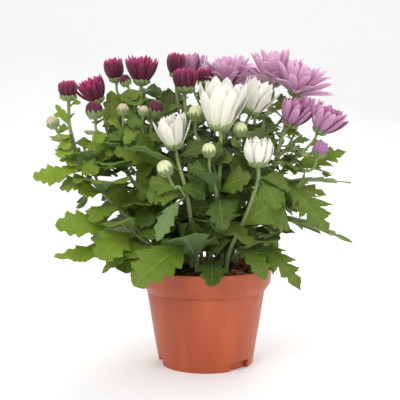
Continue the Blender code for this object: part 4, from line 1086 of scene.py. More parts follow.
def extra_leaves(room):
    """Small leaves between the others, too many for the solid part."""
    rng = random.Random(SEED + 3)
    found = []
    for shoot in SHOOTS:
        first = EXTRA_FIRST if shoot.parent else ROOT_DEPTH + EXTRA_FIRST
        for root in along_route(ROUTES[shoot.name], first, 0.5 * NECK_LENGTH, EXTRA_STEP):
            share = np.clip((root[2] - LOWEST_LEAF) / EXTRA_SPAN, 0, 1)
            length = rng.uniform(*EXTRA_SIZES) * (EXTRA_LONG - EXTRA_SHORTENS * share)
            turn = rng.uniform(0, math.tau)
            droop = EXTRA_DROOP if root[2] > LOW_ROOT else LOW_DROOP
            way = unit((math.cos(turn), math.sin(turn), rng.uniform(droop, EXTRA_RISE)))
            kind = "middle" if length > SMALL_LEAF else "small"
            outer = unit((root + 0.5 * way * length) * (1.0, 1.0, 0.0))
            ahead = (0.0, -1.0 if root[1] < BACK_ROW else 1.0, 0.0)
            facing = (outer * (0.5, 1.0, 0.0) + ahead) * rng.uniform(*EXTRA_TILTS) + (0.0, 0.0, 1.0)
            leaf = Leaf(root, root + way * length, facing, length * EXTRA_PLUMP, length * EXTRA_ARCH, kind)
            bent = clear_leaf(leaf, OWNERS[shoot.name], room)
            if bent is not None and within_reach(bent.tip):
                found.append((OWNERS[shoot.name], shoot.name, bent))
                room.add(OWNERS[shoot.name], leaf_solid(bent))
    return found


def within_reach(tip):
    """Whether a leaf's tip stays inside the plant's outline."""
    return all(low < place < high for low, place, high in zip(LEAST_REACH, tip, MOST_REACH))


def clear_leaf(leaf, owner, room):
    """The leaf as first bent clear of everything but the stem that carries its stalk."""
    for bent in bent_leaves(leaf):
        if room.crossed(leaf_solid(bent, 1, CLEARANCE)):
            continue
        if not room.crossed(leaf_solid(bent, 0, CLEARANCE), owner):
            return bent
    return None


def pot_solid():
    """The pot's wall and floor in one turned body."""
    profile = [(0, 0, 0), (BASE_RADIUS, 0, 0), (NECK_RADIUS, NECK_HEIGHT, 0),
               (RIM_FOOT_RADIUS, RIM_FOOT_HEIGHT, 0), (RIM_RADIUS, POT_HEIGHT, 0),
               (RIM_RADIUS - WALL, POT_HEIGHT, 0), (RIM_FOOT_RADIUS - WALL, RIM_FOOT_HEIGHT, 0),
               (NECK_RADIUS - WALL, NECK_HEIGHT - 0.5, 0), (INNER_CORNER, CORNER_HEIGHT, 0),
               (BASE_RADIUS - CORNER_INSET, FLOOR, 0), (0, FLOOR, 0)]
    return turned(profile, POT_SIDES, np.zeros(3), (0, 0, 1))


def wedge(angle):
    """The cutter of one notch: a curved block round the foot's edge."""
    spread = [math.radians(angle - 90 + NOTCH_SPAN * share) for share in (-0.5, -0.17, 0.17, 0.5)]
    points = []
    for height in (-2.0, NOTCH_HEIGHT):
        for radius in (BASE_RADIUS - NOTCH_DEPTH, BASE_RADIUS + 6.0):
            points += [(*round_spot(radius, a), height) for a in spread]
    low_in, low_out, high_in, high_out = (list(range(i, i + 4)) for i in (0, 4, 8, 12))
    triangles = quads_between(low_out + low_in[::-1], high_out + high_in[::-1])
    for i in range(3):
        triangles += [(low_in[i], low_out[i + 1], low_out[i]), (low_in[i], low_in[i + 1], low_out[i + 1])]
        triangles += [(high_in[i], high_out[i], high_out[i + 1]),
                      (high_in[i], high_out[i + 1], high_in[i + 1])]
    return closed(points, triangles)


def soil_solid():
    """The block of soil that fills the pot, a clearance inside its wall."""
    rim_slope = (RIM_RADIUS - RIM_FOOT_RADIUS) / (POT_HEIGHT - RIM_FOOT_HEIGHT)
    edge = RIM_FOOT_RADIUS - WALL + rim_slope * (SOIL_EDGE - SOIL_LIP - RIM_FOOT_HEIGHT) - SOIL_GAP
    rings = [*SOIL_SIDE, (RIM_FOOT_RADIUS - WALL - SOIL_GAP, RIM_FOOT_HEIGHT + CLEARANCE), (edge, None)]
    rings += [(radius, None) for radius in SOIL_RINGS]
    points = [(0, 0, SOIL_FOOT)]
    numbers = []
    for radius, height in rings:
        numbers.append(range(len(points), len(points) + SOIL_SIDES))
        for side in range(SOIL_SIDES):
            x, y = round_spot(radius, math.tau * side / SOIL_SIDES)
            points.append((x, y, soil_height(x, y) if height is None else height))
    points.append((0, 0, soil_height(0, 0)))
    triangles = []
    for lower, upper in zip(numbers, numbers[1:]):
        triangles += quads_between(lower, upper)
    for side in range(SOIL_SIDES):
        after = (side + 1) % SOIL_SIDES
        triangles.append((0, numbers[0][after], numbers[0][side]))
        triangles.append((len(points) - 1, numbers[-1][side], numbers[-1][after]))
    return closed(points, triangles)


# Meshes

class Skin:
    """What one piece is made of: points, faces, and for each its material, place and tone."""

    def __init__(self):
        self.points = []
        self.places = []
        self.tones = []
        self.faces = []
        self.slots = []
        self.count = 0

    def add(self, points, places, tone, faces, slots):
        """Points with their place on the surface, and faces with one slot or a slot each."""
        points = np.asarray(points, float).reshape(-1, 3)
        faces = np.asarray(faces, int) + self.count
        self.points.append(points)
        self.places.append(np.broadcast_to(np.asarray(places, float), (len(points), 2)))
        self.tones.append(np.broadcast_to(np.asarray(tone, float), (len(points),)))
        self.faces.append(faces)
        self.slots.append(np.broadcast_to(np.asarray(slots, int), (len(faces),)))
        self.count += len(points)

    def sheet(self, upper, lower, places, tone, slots):
        """A thin closed sheet from its upper and lower grids of points."""
        rows, columns = upper.shape[:2]
        number = np.arange(rows * columns).reshape(rows, columns)
        cells = np.stack((number[:-1, :-1], number[1:, :-1], number[1:, 1:], number[:-1, 1:]), -1)
        cells = cells.reshape(-1, 4)
        middle = (rows // 2, columns // 2)
        along = upper[middle] - upper[middle[0] - 1, middle[1]]
        side = upper[middle] - upper[middle[0], middle[1] - 1]
        if np.cross(along, side).dot(upper[middle] - lower[middle]) < 0:
            cells = cells[:, ::-1]
            number = number[:, ::-1]
        size = rows * columns
        edge = np.concatenate((number[:, 0], number[-1, 1:], number[-2::-1, -1], number[0, -2:0:-1]))
        after = np.roll(edge, -1)
        rim = np.stack((edge, edge + size, after + size, after), -1)
        faces = np.concatenate((cells, cells[:, ::-1] + size, rim))
        slot = np.repeat((slots[0], slots[1], slots[0]), (len(cells), len(cells), len(rim)))
        flat = places.reshape(-1, 2)
        self.add(np.concatenate((upper.reshape(-1, 3), lower.reshape(-1, 3))),
                 np.concatenate((flat, flat)), tone, faces, slot)

    def rounds(self, rings, tone, slot):
        """A round body from rings of points, each (sides, 3), closed with a fan at both ends."""
        rings = np.asarray(rings, float)
        count, sides = rings.shape[:2]
        number = np.arange(count * sides).reshape(count, sides)
        after = np.roll(number, -1, axis=1)
        faces = np.stack((number[:-1], after[:-1], after[1:], number[1:]), -1).reshape(-1, 4)
        around, along = np.meshgrid(np.arange(sides) / sides, np.linspace(0, 1, count))
        places = np.stack((around, along), -1).reshape(-1, 2)
        points = np.concatenate((rings.reshape(-1, 3), rings[0].mean(0)[None], rings[-1].mean(0)[None]))
        places = np.concatenate((places, [(0.5, 0.0), (0.5, 1.0)]))
        low, high = len(points) - 2, len(points) - 1
        ends = [(low, after[0, i], number[0, i], number[0, i]) for i in range(sides)]
        ends += [(high, number[-1, i], after[-1, i], after[-1, i]) for i in range(sides)]
        self.add(points, places, tone, np.concatenate((faces, ends)), slot)

    def build(self, name, materials, sharp=50):
        """The piece as an object, with edges sharper than so many degrees kept sharp."""
        faces = np.concatenate(self.faces)
        mesh = bpy.data.meshes.new(name)
        corners = [face[:3] if face[2] == face[3] else face for face in faces.tolist()]
        mesh.from_pydata((np.concatenate(self.points) * METRES).tolist(), [], corners)
        for material in materials:
            mesh.materials.append(material)
        slots = np.concatenate(self.slots).astype(np.int32)
        mesh.polygons.foreach_set("material_index", slots)
        loops = np.empty(len(mesh.loops), np.int32)
        mesh.loops.foreach_get("vertex_index", loops)
        places = np.concatenate(self.places)[loops].astype(np.float32)
        mesh.uv_layers.new(name="place").data.foreach_set("uv", places.ravel())
        tone = mesh.attributes.new("tone", "FLOAT", "POINT")
        tone.data.foreach_set("value", np.concatenate(self.tones).astype(np.float32))
        mesh.shade_smooth()
        mesh.set_sharp_from_angle(angle=math.radians(sharp))
        return linked(name, mesh)


def linked(name, data):
    """A new object in the scene."""
    made = bpy.data.objects.new(name, data)
    bpy.context.scene.collection.objects.link(made)
    return made


def smooth(points, spans):
    """Points along a smooth curve through the given points."""
    points = np.asarray(points, float)
    padded = np.vstack((2 * points[0] - points[1], points, 2 * points[-1] - points[-2]))
    found = []
    for i in range(1, len(padded) - 2):
        a, b, c, d = padded[i - 1:i + 3]
        for k in range(spans):
            t = k / spans
            found.append(0.5 * (2 * b + (c - a) * t + (2 * a - 5 * b + 4 * c - d) * t * t
                                + (3 * b - a - 3 * c + d) * t ** 3))
    found.append(padded[-2])
    return np.array(found)


def nearest(route, point):
    """The point of a route that lies nearest to the given one."""
    starts, spans = route[:-1], np.diff(route, axis=0)
    shares = ((point - starts) * spans).sum(1) / np.maximum((spans * spans).sum(1), 1e-9)
    spots = starts + spans * np.clip(shares, 0, 1)[:, None]
    return spots[np.argmin(np.linalg.norm(spots - point, axis=1))]


def pipe(skin, route, radii, sides, tone, slot):
    """A round rod along a route, with a radius at each of its points."""
    ways = np.gradient(route, axis=0)
    ways /= np.linalg.norm(ways, axis=1)[:, None]
    first = across(ways[0])[0]
    turn = np.arange(sides) * math.tau / sides
    rings = []
    for place, way, radius in zip(route, ways, radii):
        first = unit(first - way * first.dot(way))
        second = np.cross(way, first)
        rings.append(place + radius * (np.cos(turn)[:, None] * first + np.sin(turn)[:, None] * second))
    skin.rounds(rings, tone, slot)


def lathe(skin, base, axis, profile, sides, tone, slot, ridge=None):
    """A body turned from (radius, height) points. ridge gives a factor for each side and ring."""
    first, second = across(axis)
    axis = unit(axis)
    turn = np.arange(sides) * math.tau / sides
    out = np.cos(turn)[:, None] * first + np.sin(turn)[:, None] * second
    rings = []
    for number, (radius, height) in enumerate(profile):
        factor = 1.0 if ridge is None else ridge(turn, number / (len(profile) - 1))[:, None]
        rings.append(base + out * radius * factor + axis * height)
    skin.rounds(rings, tone, slot)


# Fine leaves

def leaf_rows(kind):
    """Where the rows along a leaf are, closer together towards its tip, and where its stalk ends."""
    stalk = STALK_END[kind]
    low = np.linspace(0, stalk, STALK_ROWS)[:-1]
    high = stalk + (1 - stalk) * np.linspace(0, 1, LEAF_ROWS[kind]) ** ROWS_CROWD
    return np.concatenate((low, high)), stalk


def leaf_edge(style, kind, t, stalk, rng):
    """Half width along one side of a leaf, whose lobes differ a little from leaf to leaf."""
    power = LOBE_POWER[style]
    places, shares = zip(*BODIES[style])
    width = np.interp(1 - (1 - t) * (1 - places[0]) / (1 - stalk), places, shares)
    for lobe in LOBES[style, kind]:
        centre = lobe.centre + rng.uniform(-LOBE_STRAY, LOBE_STRAY)
        x = np.clip(np.abs(t - centre) / lobe.reach, 0, 1)
        teeth = 1 + TEETH[style] * np.cos((t - centre) * math.tau / (TOOTH * lobe.reach))
        tall = lobe.height * rng.uniform(LOBE_LEAST, 1.0)
        width = np.maximum(width, tall * (1 - x ** power) ** (1 / power) * teeth)
    width[t <= stalk] = 0
    return width[:, None]


def leaf_surface(leaf, share, offset, twist):
    """Points and normals of a leaf's middle surface at arrays of shares and offsets."""
    root, middle, tip, side = leaf_frame(leaf)
    s = share[..., None]
    rib = root * (1 - s) ** 2 + middle * 2 * s * (1 - s) + tip * s ** 2
    way = (middle - root) * (1 - s) + (tip - middle) * s
    way /= np.linalg.norm(way, axis=-1)[..., None]
    side = np.broadcast_to(side, way.shape)
    normal = np.cross(side, way)
    turn = twist * s
    side, normal = (side * np.cos(turn) + normal * np.sin(turn),
                    normal * np.cos(turn) - side * np.sin(turn))
    lift = np.sqrt(offset ** 2 + 1.0) - 1.0
    place = rib + side * (offset * math.cos(LEAF_FOLD))[..., None]
    return place + normal * (lift * math.sin(LEAF_FOLD))[..., None], normal


def fine_leaf(skin, leaf, style, rng, slots, columns):
    """A lobed and toothed blade on its stalk, waved, with a sunk rib and a keel under it."""
    t, end = leaf_rows(leaf.kind)
    left, right = leaf_edge(style, leaf.kind, t, end, rng), leaf_edge(style, leaf.kind, t, end, rng)
    width = np.maximum(left, right)
    t = t[:, None]
    x = np.linspace(-1, 1, 2 * columns + 1)
    out = np.abs(x)
    stalk = STALK_HALF[leaf.kind]
    sides = np.where(x < 0, left, right)
    offset = np.maximum(sides * leaf.width, stalk * np.clip((1 - t) * 12, 0.12, 1)) * x
    share = t + SWEEPS[style] * sides * (1 - t) * out
    place, normal = leaf_surface(leaf, share, offset, rng.uniform(-TWIST, TWIST))
    phase = rng.uniform(0, math.tau)
    wave = LEAF_WAVE * leaf.width * np.sin(t * LEAF_WAVES + phase + 1.4 * np.sign(x)) * out ** 1.6
    droop = -LEAF_DROOP * leaf.width * out ** 2.6 * width
    quilt = QUILT * np.cos(t * math.tau * SIDE_VEINS) * out ** 0.7 * (1 - out ** 3)
    rib = -RIB_DEEP * np.exp(-offset ** 2)
    blade = np.clip(width * 4, 0, 1)
    place = place + normal * (blade * (wave + droop + quilt + rib))[..., None]
    thick = LEAF_THIN + (stalk - LEAF_THIN) * (1 - np.clip(width * 3, 0, 1)) * np.sqrt(1 - 0.8 * x ** 2)
    under = thick + RIB_KEEL * blade * np.exp(-(offset / RIB_KEEL_HALF) ** 2) * (1 - t)
    places = np.stack(np.broadcast_arrays((x + 1) / 2, t), -1)
    # Painted light: a leaf is toned paler the farther its tip stands to the left or right, and darker near
    # the middle as painted shade; a random share is added
    painted_light = PAINTED_LIGHT_SHARE[style] * (abs(leaf.tip[0]) - SHADED_MIDDLE_REACH) / (LIT_SIDE_REACH - SHADED_MIDDLE_REACH)
    tone = min(max(painted_light + TONE_STRAY * rng.random(), 0.0), 1.0)
    skin.sheet(place + normal * thick[..., None], place - normal * under[..., None], places, tone, slots)


def bract(skin, base, axis, turn, steps, half, tone, slots):
    """A small pointed scale that hugs a cup or a bud: steps are (radius, height) up its middle."""
    first, second = across(axis)
    s = np.linspace(0, 1, SCALE_ROWS)
    knots = np.linspace(0, 1, len(steps))
    radius, height = (np.interp(s, knots, column)[:, None] for column in zip(*steps))
    round_off = (s[:, None] - SCALE_WIDEST) ** 2 / (1 - SCALE_WIDEST) ** 2
    x = np.linspace(-1, 1, SCALE_POINTS)
    angle = turn + half * np.sqrt(np.clip(1 - round_off, 0.004, 1)) * x / np.maximum(radius, 1.0)
    out = np.cos(angle)[..., None] * first + np.sin(angle)[..., None] * second
    place = base + out * radius[..., None] + unit(axis) * height[..., None]
    keel = (SCALE_KEEL * (1 - np.abs(x)))[:, None]
    places = np.stack(np.meshgrid((x + 1) / 2, s), -1)
    skin.sheet(place + out * (SCALE_THIN + keel), place - out * SCALE_THIN, places, tone, slots)


# Fine heads

def cup_curve(head):
    """The outside of a cup as (radius, height) points, a bowl that grows out of its stalk."""
    cup, height, stalk = head.cup, CUP_RISE[head.colour] * cup_height(head), SIDE_RADII[1]
    return [(stalk + 0.1, -2.6), (stalk + 0.4, -1.2), (0.42 * cup, -0.25), (0.7 * cup, 0.16 * height),
            (0.9 * cup, 0.42 * height), (0.985 * cup, 0.72 * height), (cup - 0.1, 0.98 * height)]


def bud_curve(head):
    """The outside of a closed bud as (radius, height) points, a globe that sits in its cup."""
    height, size = cup_height(head), head.size
    low, high = 0.42 * height, height + 1.5 * size
    centre = height + 0.5 * size
    curve = []
    for angle in np.linspace(-BUD_FOOT, BUD_TOP, BUD_RINGS):
        rise = (high - centre) if angle > 0 else (centre - low) / math.sin(BUD_FOOT)
        curve.append((size * math.cos(angle) ** 0.9, centre + rise * math.sin(angle)))
    return curve


def scale_steps(head, low, rise):
    """Where a scale lies on its cup, and on the bud above the cup, as (radius, height) points."""
    steps = []
    for height in np.linspace(low, rise, 6):
        radii = [np.interp(height, [high for _, high in curve], [radius for radius, _ in curve])
                 for curve in (cup_curve(head), bud_curve(head))]
        steps.append((max(radii) + SCALE_LIFT, height))
    return steps


def fine_cup(skin, head, rng, slots):
    """The green cup with two whorls of scales."""
    cup, height = head.cup, CUP_RISE[head.colour] * cup_height(head)
    base = np.asarray(head.base, float)
    inside = [(cup - 0.9, 0.96 * height), (0.7 * cup, 0.45 * height), (0.3 * cup, 0.3 * height)]
    lathe(skin, base, head.axis, cup_curve(head) + inside, CUP_FINE_SIDES, 0.5, slots[0])
    closed_bud = head.kind == "bud"
    tall = height + BUD_SCALES[head.colour] * head.size if closed_bud else height * SCALES_RISE[head.colour]
    for whorl, (foot, count, top) in enumerate(WHORLS):
        low = foot * height
        for i in range(count):
            turn = math.tau * (i + 0.5 * whorl + rng.uniform(-SCALE_TURNS, SCALE_TURNS)) / count
            rise = top * tall * rng.uniform(*SCALE_RISES)
            steps = [(0.62 * cup, low), (0.95 * cup + 0.2, low + 0.5 * (rise - low)), (cup + 0.33, rise)]
            if closed_bud:
                steps = scale_steps(head, low, rise)
            bract(skin, base, head.axis, turn, steps, SCALE_HALF * cup, rng.random(), slots)


def fine_bud(skin, head, slot):
    """A closed bud: a globe with a ridge for each folded petal, drawn in at the top."""
    relief = BUD_RELIEF[head.colour]

    def ridge(turn, share):
        saw = np.mod((turn / math.tau + BUD_SWIRL * share) * BUD_PETALS, 1.0)
        return 1 + relief * (0.07 + 0.1 * share) * (saw ** 0.6 * (1 - saw ** 7) - 0.6)
    lathe(skin, np.asarray(head.base, float), head.axis, bud_curve(head), BUD_FINE_SIDES, 0.5, slot, ridge)


def fine_petal(skin, petal, blade, rng, slots):
    """One petal: a thin sheet, narrow at its root, cupped, grooved and drawn in at the tip."""
    s = np.linspace(0, 1, PETAL_ROWS)[:, None] ** PETAL_EVEN
    rise = blade.root + (1 - blade.root) * np.sin(np.clip(s / WIDEST, 0, 1) * math.pi / 2)
    fall = np.clip(1 - (np.clip(s - WIDEST, 0, None) / (1 - WIDEST)) ** blade.blunt, 0.002, 1) ** blade.taper
    x = np.linspace(-1, 1, PETAL_COLUMNS + 1)
    notch = PETAL_NOTCH * np.cos(x * math.pi * 2.5) ** 2 * (np.abs(x) < 0.9)
    axis, out, side = petal_ways(petal)
    radius, height, lean = petal_line(petal, s * (1 - notch * s ** 6), np)
    offset = petal.width * rise * fall * x
    normal = axis * np.sin(lean)[..., None] - out * np.cos(lean)[..., None]
    curl = blade.cup * offset * offset / petal.width + offset * math.tan(blade.tuck)
    groove = PETAL_GROOVE * np.cos(x * math.pi * 2) * np.sin(s * math.pi) ** 0.5
    place = petal.base + out * radius[..., None] + axis * height[..., None] + side * offset[..., None]
    place = place + normal * (curl + groove)[..., None]
    places = np.stack(np.broadcast_arrays((x + 1) / 2, s), -1)
    skin.sheet(place + normal * PETAL_THIN, place - normal * PETAL_THIN, places, rng.random(), slots)


def fine_bloom(skin, head, petals, rng, slots):
    """A head's core and its rings of petals, drawn in or shortened as the solid head's are."""
    rings = core_rings(head)
    base = np.asarray(head.base, float)
    axis = unit(head.axis)
    heights = [(ring[0] - base).dot(axis) for ring in rings]
    radii = [np.linalg.norm(ring[0] - base - axis * height) for ring, height in zip(rings, heights)]
    form = FORMS[head.kind]
    layers = np.arange(len(form.layers))
    seats = [petal for _, place, petal in petals_of(head, rings) if place == 0]
    seat_radii = [petal.radius for petal in seats]
    seat_heights = [petal.height for petal in seats]
    sunk = seat_heights[0] - SEAT_RISE * CUP_RISE[head.colour] * cup_height(head)
    profile = [(radii[1], heights[1]), (0.75 * radii[2], 0.8 * cup_height(head))]
    profile += [(radius, height - sunk) for radius, height in zip(radii[3:-1], heights[3:-1])]
    profile.append((0.35 * radii[-2], heights[-1] - sunk))
    lathe(skin, base, head.axis, profile, CUP_FINE_SIDES, 0.2, slots[0])
    step = math.tau / form.petals
    around, root_stray, tip_stray = STRAY[head.kind]
    for number, ring in enumerate(RINGS[head.colour, head.kind]):
        beyond = max(0.0, ring.layer - layers[-1])
        radius = np.interp(ring.layer, layers, seat_radii) * (1 - BEYOND_DRAW * beyond)
        height = np.interp(ring.layer, layers, seat_heights) + BEYOND_RISE * beyond * head.cup - sunk
        layer = int(min(round(ring.layer), layers[-1]))
        nominal = form.layers[layer]
        faces = slots if number < OUTER_RINGS[head.kind] else slots[:1] * 2
        for i in range(ring.count):
            turn = math.tau * (i + 0.5 * (number % 2) + rng.uniform(-around, around)) / ring.count
            place = int(round(turn / step - 0.5 - 0.5 * (layer + 1))) % form.petals
            like = petals.get((layer, place))
            if like is None:
                continue
            ratio = like.length / (head.size * nominal.length)
            lean = like.end - nominal.end
            start = ring.start + lean / 2 + rng.uniform(-root_stray, root_stray)
            end = ring.end + lean + rng.uniform(-tip_stray, tip_stray)
            length = (head.size * ratio + sunk) * ring.length * rng.uniform(UNEVEN[head.kind], 1.0)
            width = head.size * ring.width * rng.uniform(*PETAL_WIDTHS)
            petal = like._replace(turn=turn, radius=radius, height=height, length=length, start=start,
                                  end=end, width=width)
            fine_petal(skin, petal, BLADES[head.colour], rng, faces)


# Materials

class Paint:
    """A material and short ways to add nodes to it."""

    def __init__(self, name, roughness):
        self.material = bpy.data.materials.new(name)
        self.material.use_nodes = True
        self.tree = self.material.node_tree
        self.shader = self.tree.nodes["Principled BSDF"]
        self.look(Roughness=roughness)
        self.uv = self.tree.nodes.new("ShaderNodeUVMap")
        self.uv.uv_map = "place"
        self.object = self.tree.nodes.new("ShaderNodeTexCoord").outputs["Object"]

    def put(self, socket, value):
        """A link, a number or a colour into a socket."""
        if isinstance(value, bpy.types.NodeSocket):
            self.tree.links.new(value, socket)
        else:
            socket.default_value = (*value, 1.0) if socket.type == "RGBA" else value

    def set(self, made, **inputs):
        for name, value in inputs.items():
            self.put(made.inputs[name.replace("_", " ")], value)
        return made

    def look(self, **inputs):
        self.set(self.shader, **inputs)

    def soft(self, weight, spread, depth):
        """Light that spreads under the skin, to a depth in metres."""
        self.look(Subsurface_Weight=weight, Subsurface_Radius=spread, Subsurface_Scale=depth)

    def node(self, kind, settings=None, **inputs):
        made = self.tree.nodes.new("ShaderNode" + kind)
        for name, value in (settings or {}).items():
            setattr(made, name, value)
        return self.set(made, **inputs)

    def across(self):
        return self.node("SeparateXYZ", Vector=self.uv.outputs[0]).outputs["X"]

    def along(self):
        return self.node("SeparateXYZ", Vector=self.uv.outputs[0]).outputs["Y"]

    def tone(self):
        return self.node("Attribute", {"attribute_name": "tone"}).outputs["Fac"]

    def sum(self, operation, *values):
        made = self.node("Math", {"operation": operation})
        for socket, value in zip(made.inputs, values):
            self.put(socket, value)
        return made.outputs[0]

    def ramp(self, factor, *stops):
        made = self.node("ValToRGB", Fac=factor)
        elements = made.color_ramp.elements
        while len(elements) < len(stops):
            elements.new(0.5)
        for element, (position, colour) in zip(elements, stops):
            element.position = position
            element.color = (*colour, 1.0)
        return made.outputs["Color"]

    def mix(self, factor, first, second, blend="MIX"):
        made = self.node("Mix", {"data_type": "RGBA", "blend_type": blend})
        for number, value in ((0, factor), (6, first), (7, second)):
            self.put(made.inputs[number], value)
        return made.outputs[2]

    def noise(self, scale, detail=3.0, stretch=None, vector=None):
        vector = vector or self.object
        if stretch:
            vector = self.node("Mapping", Vector=vector, Scale=stretch).outputs[0]
        return self.node("TexNoise", Scale=scale, Detail=detail, Vector=vector).outputs["Fac"]

    def grooves(self, detail, *stretch):
        """Noise that is drawn out along the piece."""
        return self.noise(1.0, detail, stretch, self.uv.outputs[0])

    def bump(self, height, distance, strength):
        made = self.node("Bump", Height=height, Distance=distance, Strength=strength)
        self.look(Normal=made.outputs[0])


def srgb(red, green, blue):
    """A colour in linear light from its screen values out of 255."""
    return tuple(((c / 255 + 0.055) / 1.055) ** 2.4 if c > 10 else c / 255 / 12.92
                 for c in (red, green, blue))


def petal_material(name, *colours, streak):
    """Petals: a root, middle and tip colour, fine lengthwise veins, and a tone for each petal."""
    root, middle, tip, light = (srgb(*colour) for colour in colours)
    paint = Paint(name, 0.62)
    base = paint.ramp(paint.along(), (0.0, root), (0.28, middle), (0.75, middle), (1.0, tip))
    veins = paint.grooves(2.0, 26.0, 1.6, 1.0)
    colour = paint.mix(paint.sum("MULTIPLY", veins, streak), base, light)
    shade = paint.sum("MULTIPLY_ADD", paint.tone(), 0.32, 0.84)
    grey = paint.node("CombineXYZ", X=shade, Y=shade, Z=shade).outputs[0]
    paint.look(Base_Color=paint.mix(1.0, colour, grey, "MULTIPLY"))
    paint.soft(0.3, PETAL_SPREAD, 0.0016)
    paint.look(Sheen_Weight=0.15, Sheen_Roughness=0.4, Specular_IOR_Level=0.3)
    paint.bump(veins, 0.0004, 0.6)
    return paint.material


def bud_material(name, *colours):
    """A closed bud's folded petals: painted shade darkens the grooves between them, and each fold has a
    paler rim.
    """
    groove, face, rim = (srgb(*colour) for colour in colours)
    paint = Paint(name, 0.6)
    swirl = paint.sum("MULTIPLY_ADD", paint.along(), BUD_SWIRL, paint.across())
    fold = paint.sum("FRACT", paint.sum("MULTIPLY", swirl, BUD_PETALS))
    # Painted shade: the groove colour darkens the crease at the foot of each fold, where the ridges of
    # fine_bud dip
    base = paint.ramp(fold, (0.0, groove), (0.22, face), (0.72, face), (0.95, rim))
    mottle = paint.grooves(3.0, 60.0, 5.0, 1.0)
    paint.look(Base_Color=paint.mix(paint.sum("MULTIPLY", mottle, 0.35), base, rim))
    paint.soft(0.25, PETAL_SPREAD, 0.0012)
    paint.look(Sheen_Weight=0.15, Sheen_Roughness=0.4, Specular_IOR_Level=0.3)
    paint.bump(mottle, 0.0004, 0.6)
    return paint.material


def leaf_material(name, dark, light, vein, roughness):
    """Leaf skin: mottled green with a paler rib and side veins, and a tone for each leaf, which for leaves
    holds painted shade and painted light besides a random share.
    """
    paint = Paint(name, roughness)
    mottle = paint.noise(90.0, 4.0)
    # The tone carries each leaf's painted shade and painted light and a random share, and chooses between
    # the dark and light colours
    tone = paint.sum("MULTIPLY_ADD", paint.tone(), 0.75, 0.05)
    base = paint.ramp(paint.sum("MULTIPLY_ADD", mottle, 0.35, tone), (0.1, srgb(*dark)), (1.0, srgb(*light)))
    offset = paint.sum("ABSOLUTE", paint.sum("SUBTRACT", paint.across(), 0.5))
    rib = paint.sum("LESS_THAN", offset, 0.022)
    wave = paint.sum("FRACT", paint.sum("MULTIPLY", paint.along(), SIDE_VEINS))
    side = paint.sum("LESS_THAN", paint.sum("ABSOLUTE", paint.sum("SUBTRACT", wave, 0.5)), 0.05)
    fade = paint.sum("MULTIPLY", paint.sum("SUBTRACT", 0.5, offset), 0.45)
    lines = paint.sum("MAXIMUM", paint.sum("MULTIPLY", rib, 0.32), paint.sum("MULTIPLY", side, fade))
    paint.look(Base_Color=paint.mix(lines, base, srgb(*vein)), Sheen_Weight=0.04, Specular_IOR_Level=0.28)
    paint.soft(0.25, LEAF_SPREAD, 0.0012)
    net = paint.node("TexVoronoi", {"feature": "DISTANCE_TO_EDGE"}, Scale=420.0, Vector=paint.object)
    cells = paint.sum("MINIMUM", net.outputs["Distance"], 0.3)
    paint.bump(paint.sum("MULTIPLY_ADD", lines, -0.6, cells), 0.0005, 0.5)
    return paint.material


def stem_material():
    """Stem skin: green with pale streaks along it."""
    paint = Paint("stem_skin", 0.5)
    streaks = paint.grooves(3.0, 9.0, 60.0, 1.0)
    base = paint.ramp(paint.noise(35.0), (0.3, srgb(84, 106, 50)), (0.75, srgb(134, 152, 82)))
    paint.look(Base_Color=paint.mix(paint.sum("MULTIPLY", streaks, 0.45), base, srgb(162, 174, 112)))
    paint.look(Sheen_Weight=0.25, Sheen_Roughness=0.5)
    paint.soft(0.15, LEAF_SPREAD, 0.001)
    paint.bump(streaks, 0.0004, 0.6)
    return paint.material


def pot_material():
    """Moulded plastic: fine vertical flow marks, small scuffs and a trace of soil dust."""
    paint = Paint("pot_plastic", 0.38)
    flow = paint.noise(1.0, 3.0, (60.0, 60.0, 6.0))
    dust = paint.noise(45.0, 5.0)
    base = paint.ramp(flow, (0.3, srgb(158, 68, 32)), (0.75, srgb(180, 84, 42)))
    marks = paint.ramp(dust, (0.62, (0, 0, 0)), (0.8, (1, 1, 1)))
    paint.look(Base_Color=paint.mix(paint.sum("MULTIPLY", marks, 0.18), base, srgb(150, 110, 86)))
    paint.look(Roughness=paint.sum("MULTIPLY_ADD", dust, 0.22, 0.3))
    paint.soft(0.3, POT_SPREAD, 0.006)
    paint.bump(paint.noise(260.0, 3.0), 0.0002, 0.35)
    return paint.material


def soil_material(name, dark, light, roughness):
    """Soil and roots: fine grain over larger clumps."""
    paint = Paint(name, roughness)
    grain = paint.noise(420.0, 6.0)
    clumps = paint.noise(90.0, 4.0)
    blend = paint.sum("MULTIPLY_ADD", grain, 0.6, paint.sum("MULTIPLY", clumps, 0.4))
    paint.look(Base_Color=paint.ramp(blend, (0.32, srgb(*dark)), (0.7, srgb(*light))))
    paint.look(Specular_IOR_Level=0.2)
    paint.bump(grain, 0.001, 0.9)
    return paint.material


def floor_material():
    """A pale, even ground with a trace of unevenness."""
    paint = Paint("pale_floor", 0.9)
    stops = [(position, (0.86 * share,) * 3) for position, share in ((0.3, 0.985), (0.7, 1.0))]
    paint.look(Base_Color=paint.ramp(paint.noise(6.0, 2.0), *stops), Specular_IOR_Level=0.1)
    return paint.material


def materials():
    """Every material by name. A petal has one for each face, and so has a leaf."""
    paints = {colour: [petal_material(f"{colour}_{face}", *colours, streak=streak)
                       for face, *colours, streak in rows] for colour, rows in PETAL_PAINTS.items()}
    for kind, row in BUD_PAINTS.items():
        paints["bud " + kind] = [bud_material(*row)]
    paints["stem"] = [stem_material()] + [leaf_material(*row) for row in LEAF_PAINTS]
    paints["pot"] = [pot_material()]
    paints["soil"] = [soil_material(*row) for row in SOIL_PAINTS]
    return paints


# Pieces

def hand_in(piece, node, slot):
    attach(piece, "root")
    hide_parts(node)


def fine_routes():
    """The smooth route of each shoot, each side shoot starting on its parent's."""
    found = {}
    for shoot in SHOOTS:
        route = ROUTES[shoot.name].copy()
        if shoot.parent:
            route[0] = nearest(found[shoot.parent], route[0])
        found[shoot.name] = smooth(route, FINE_SPANS)
    return found


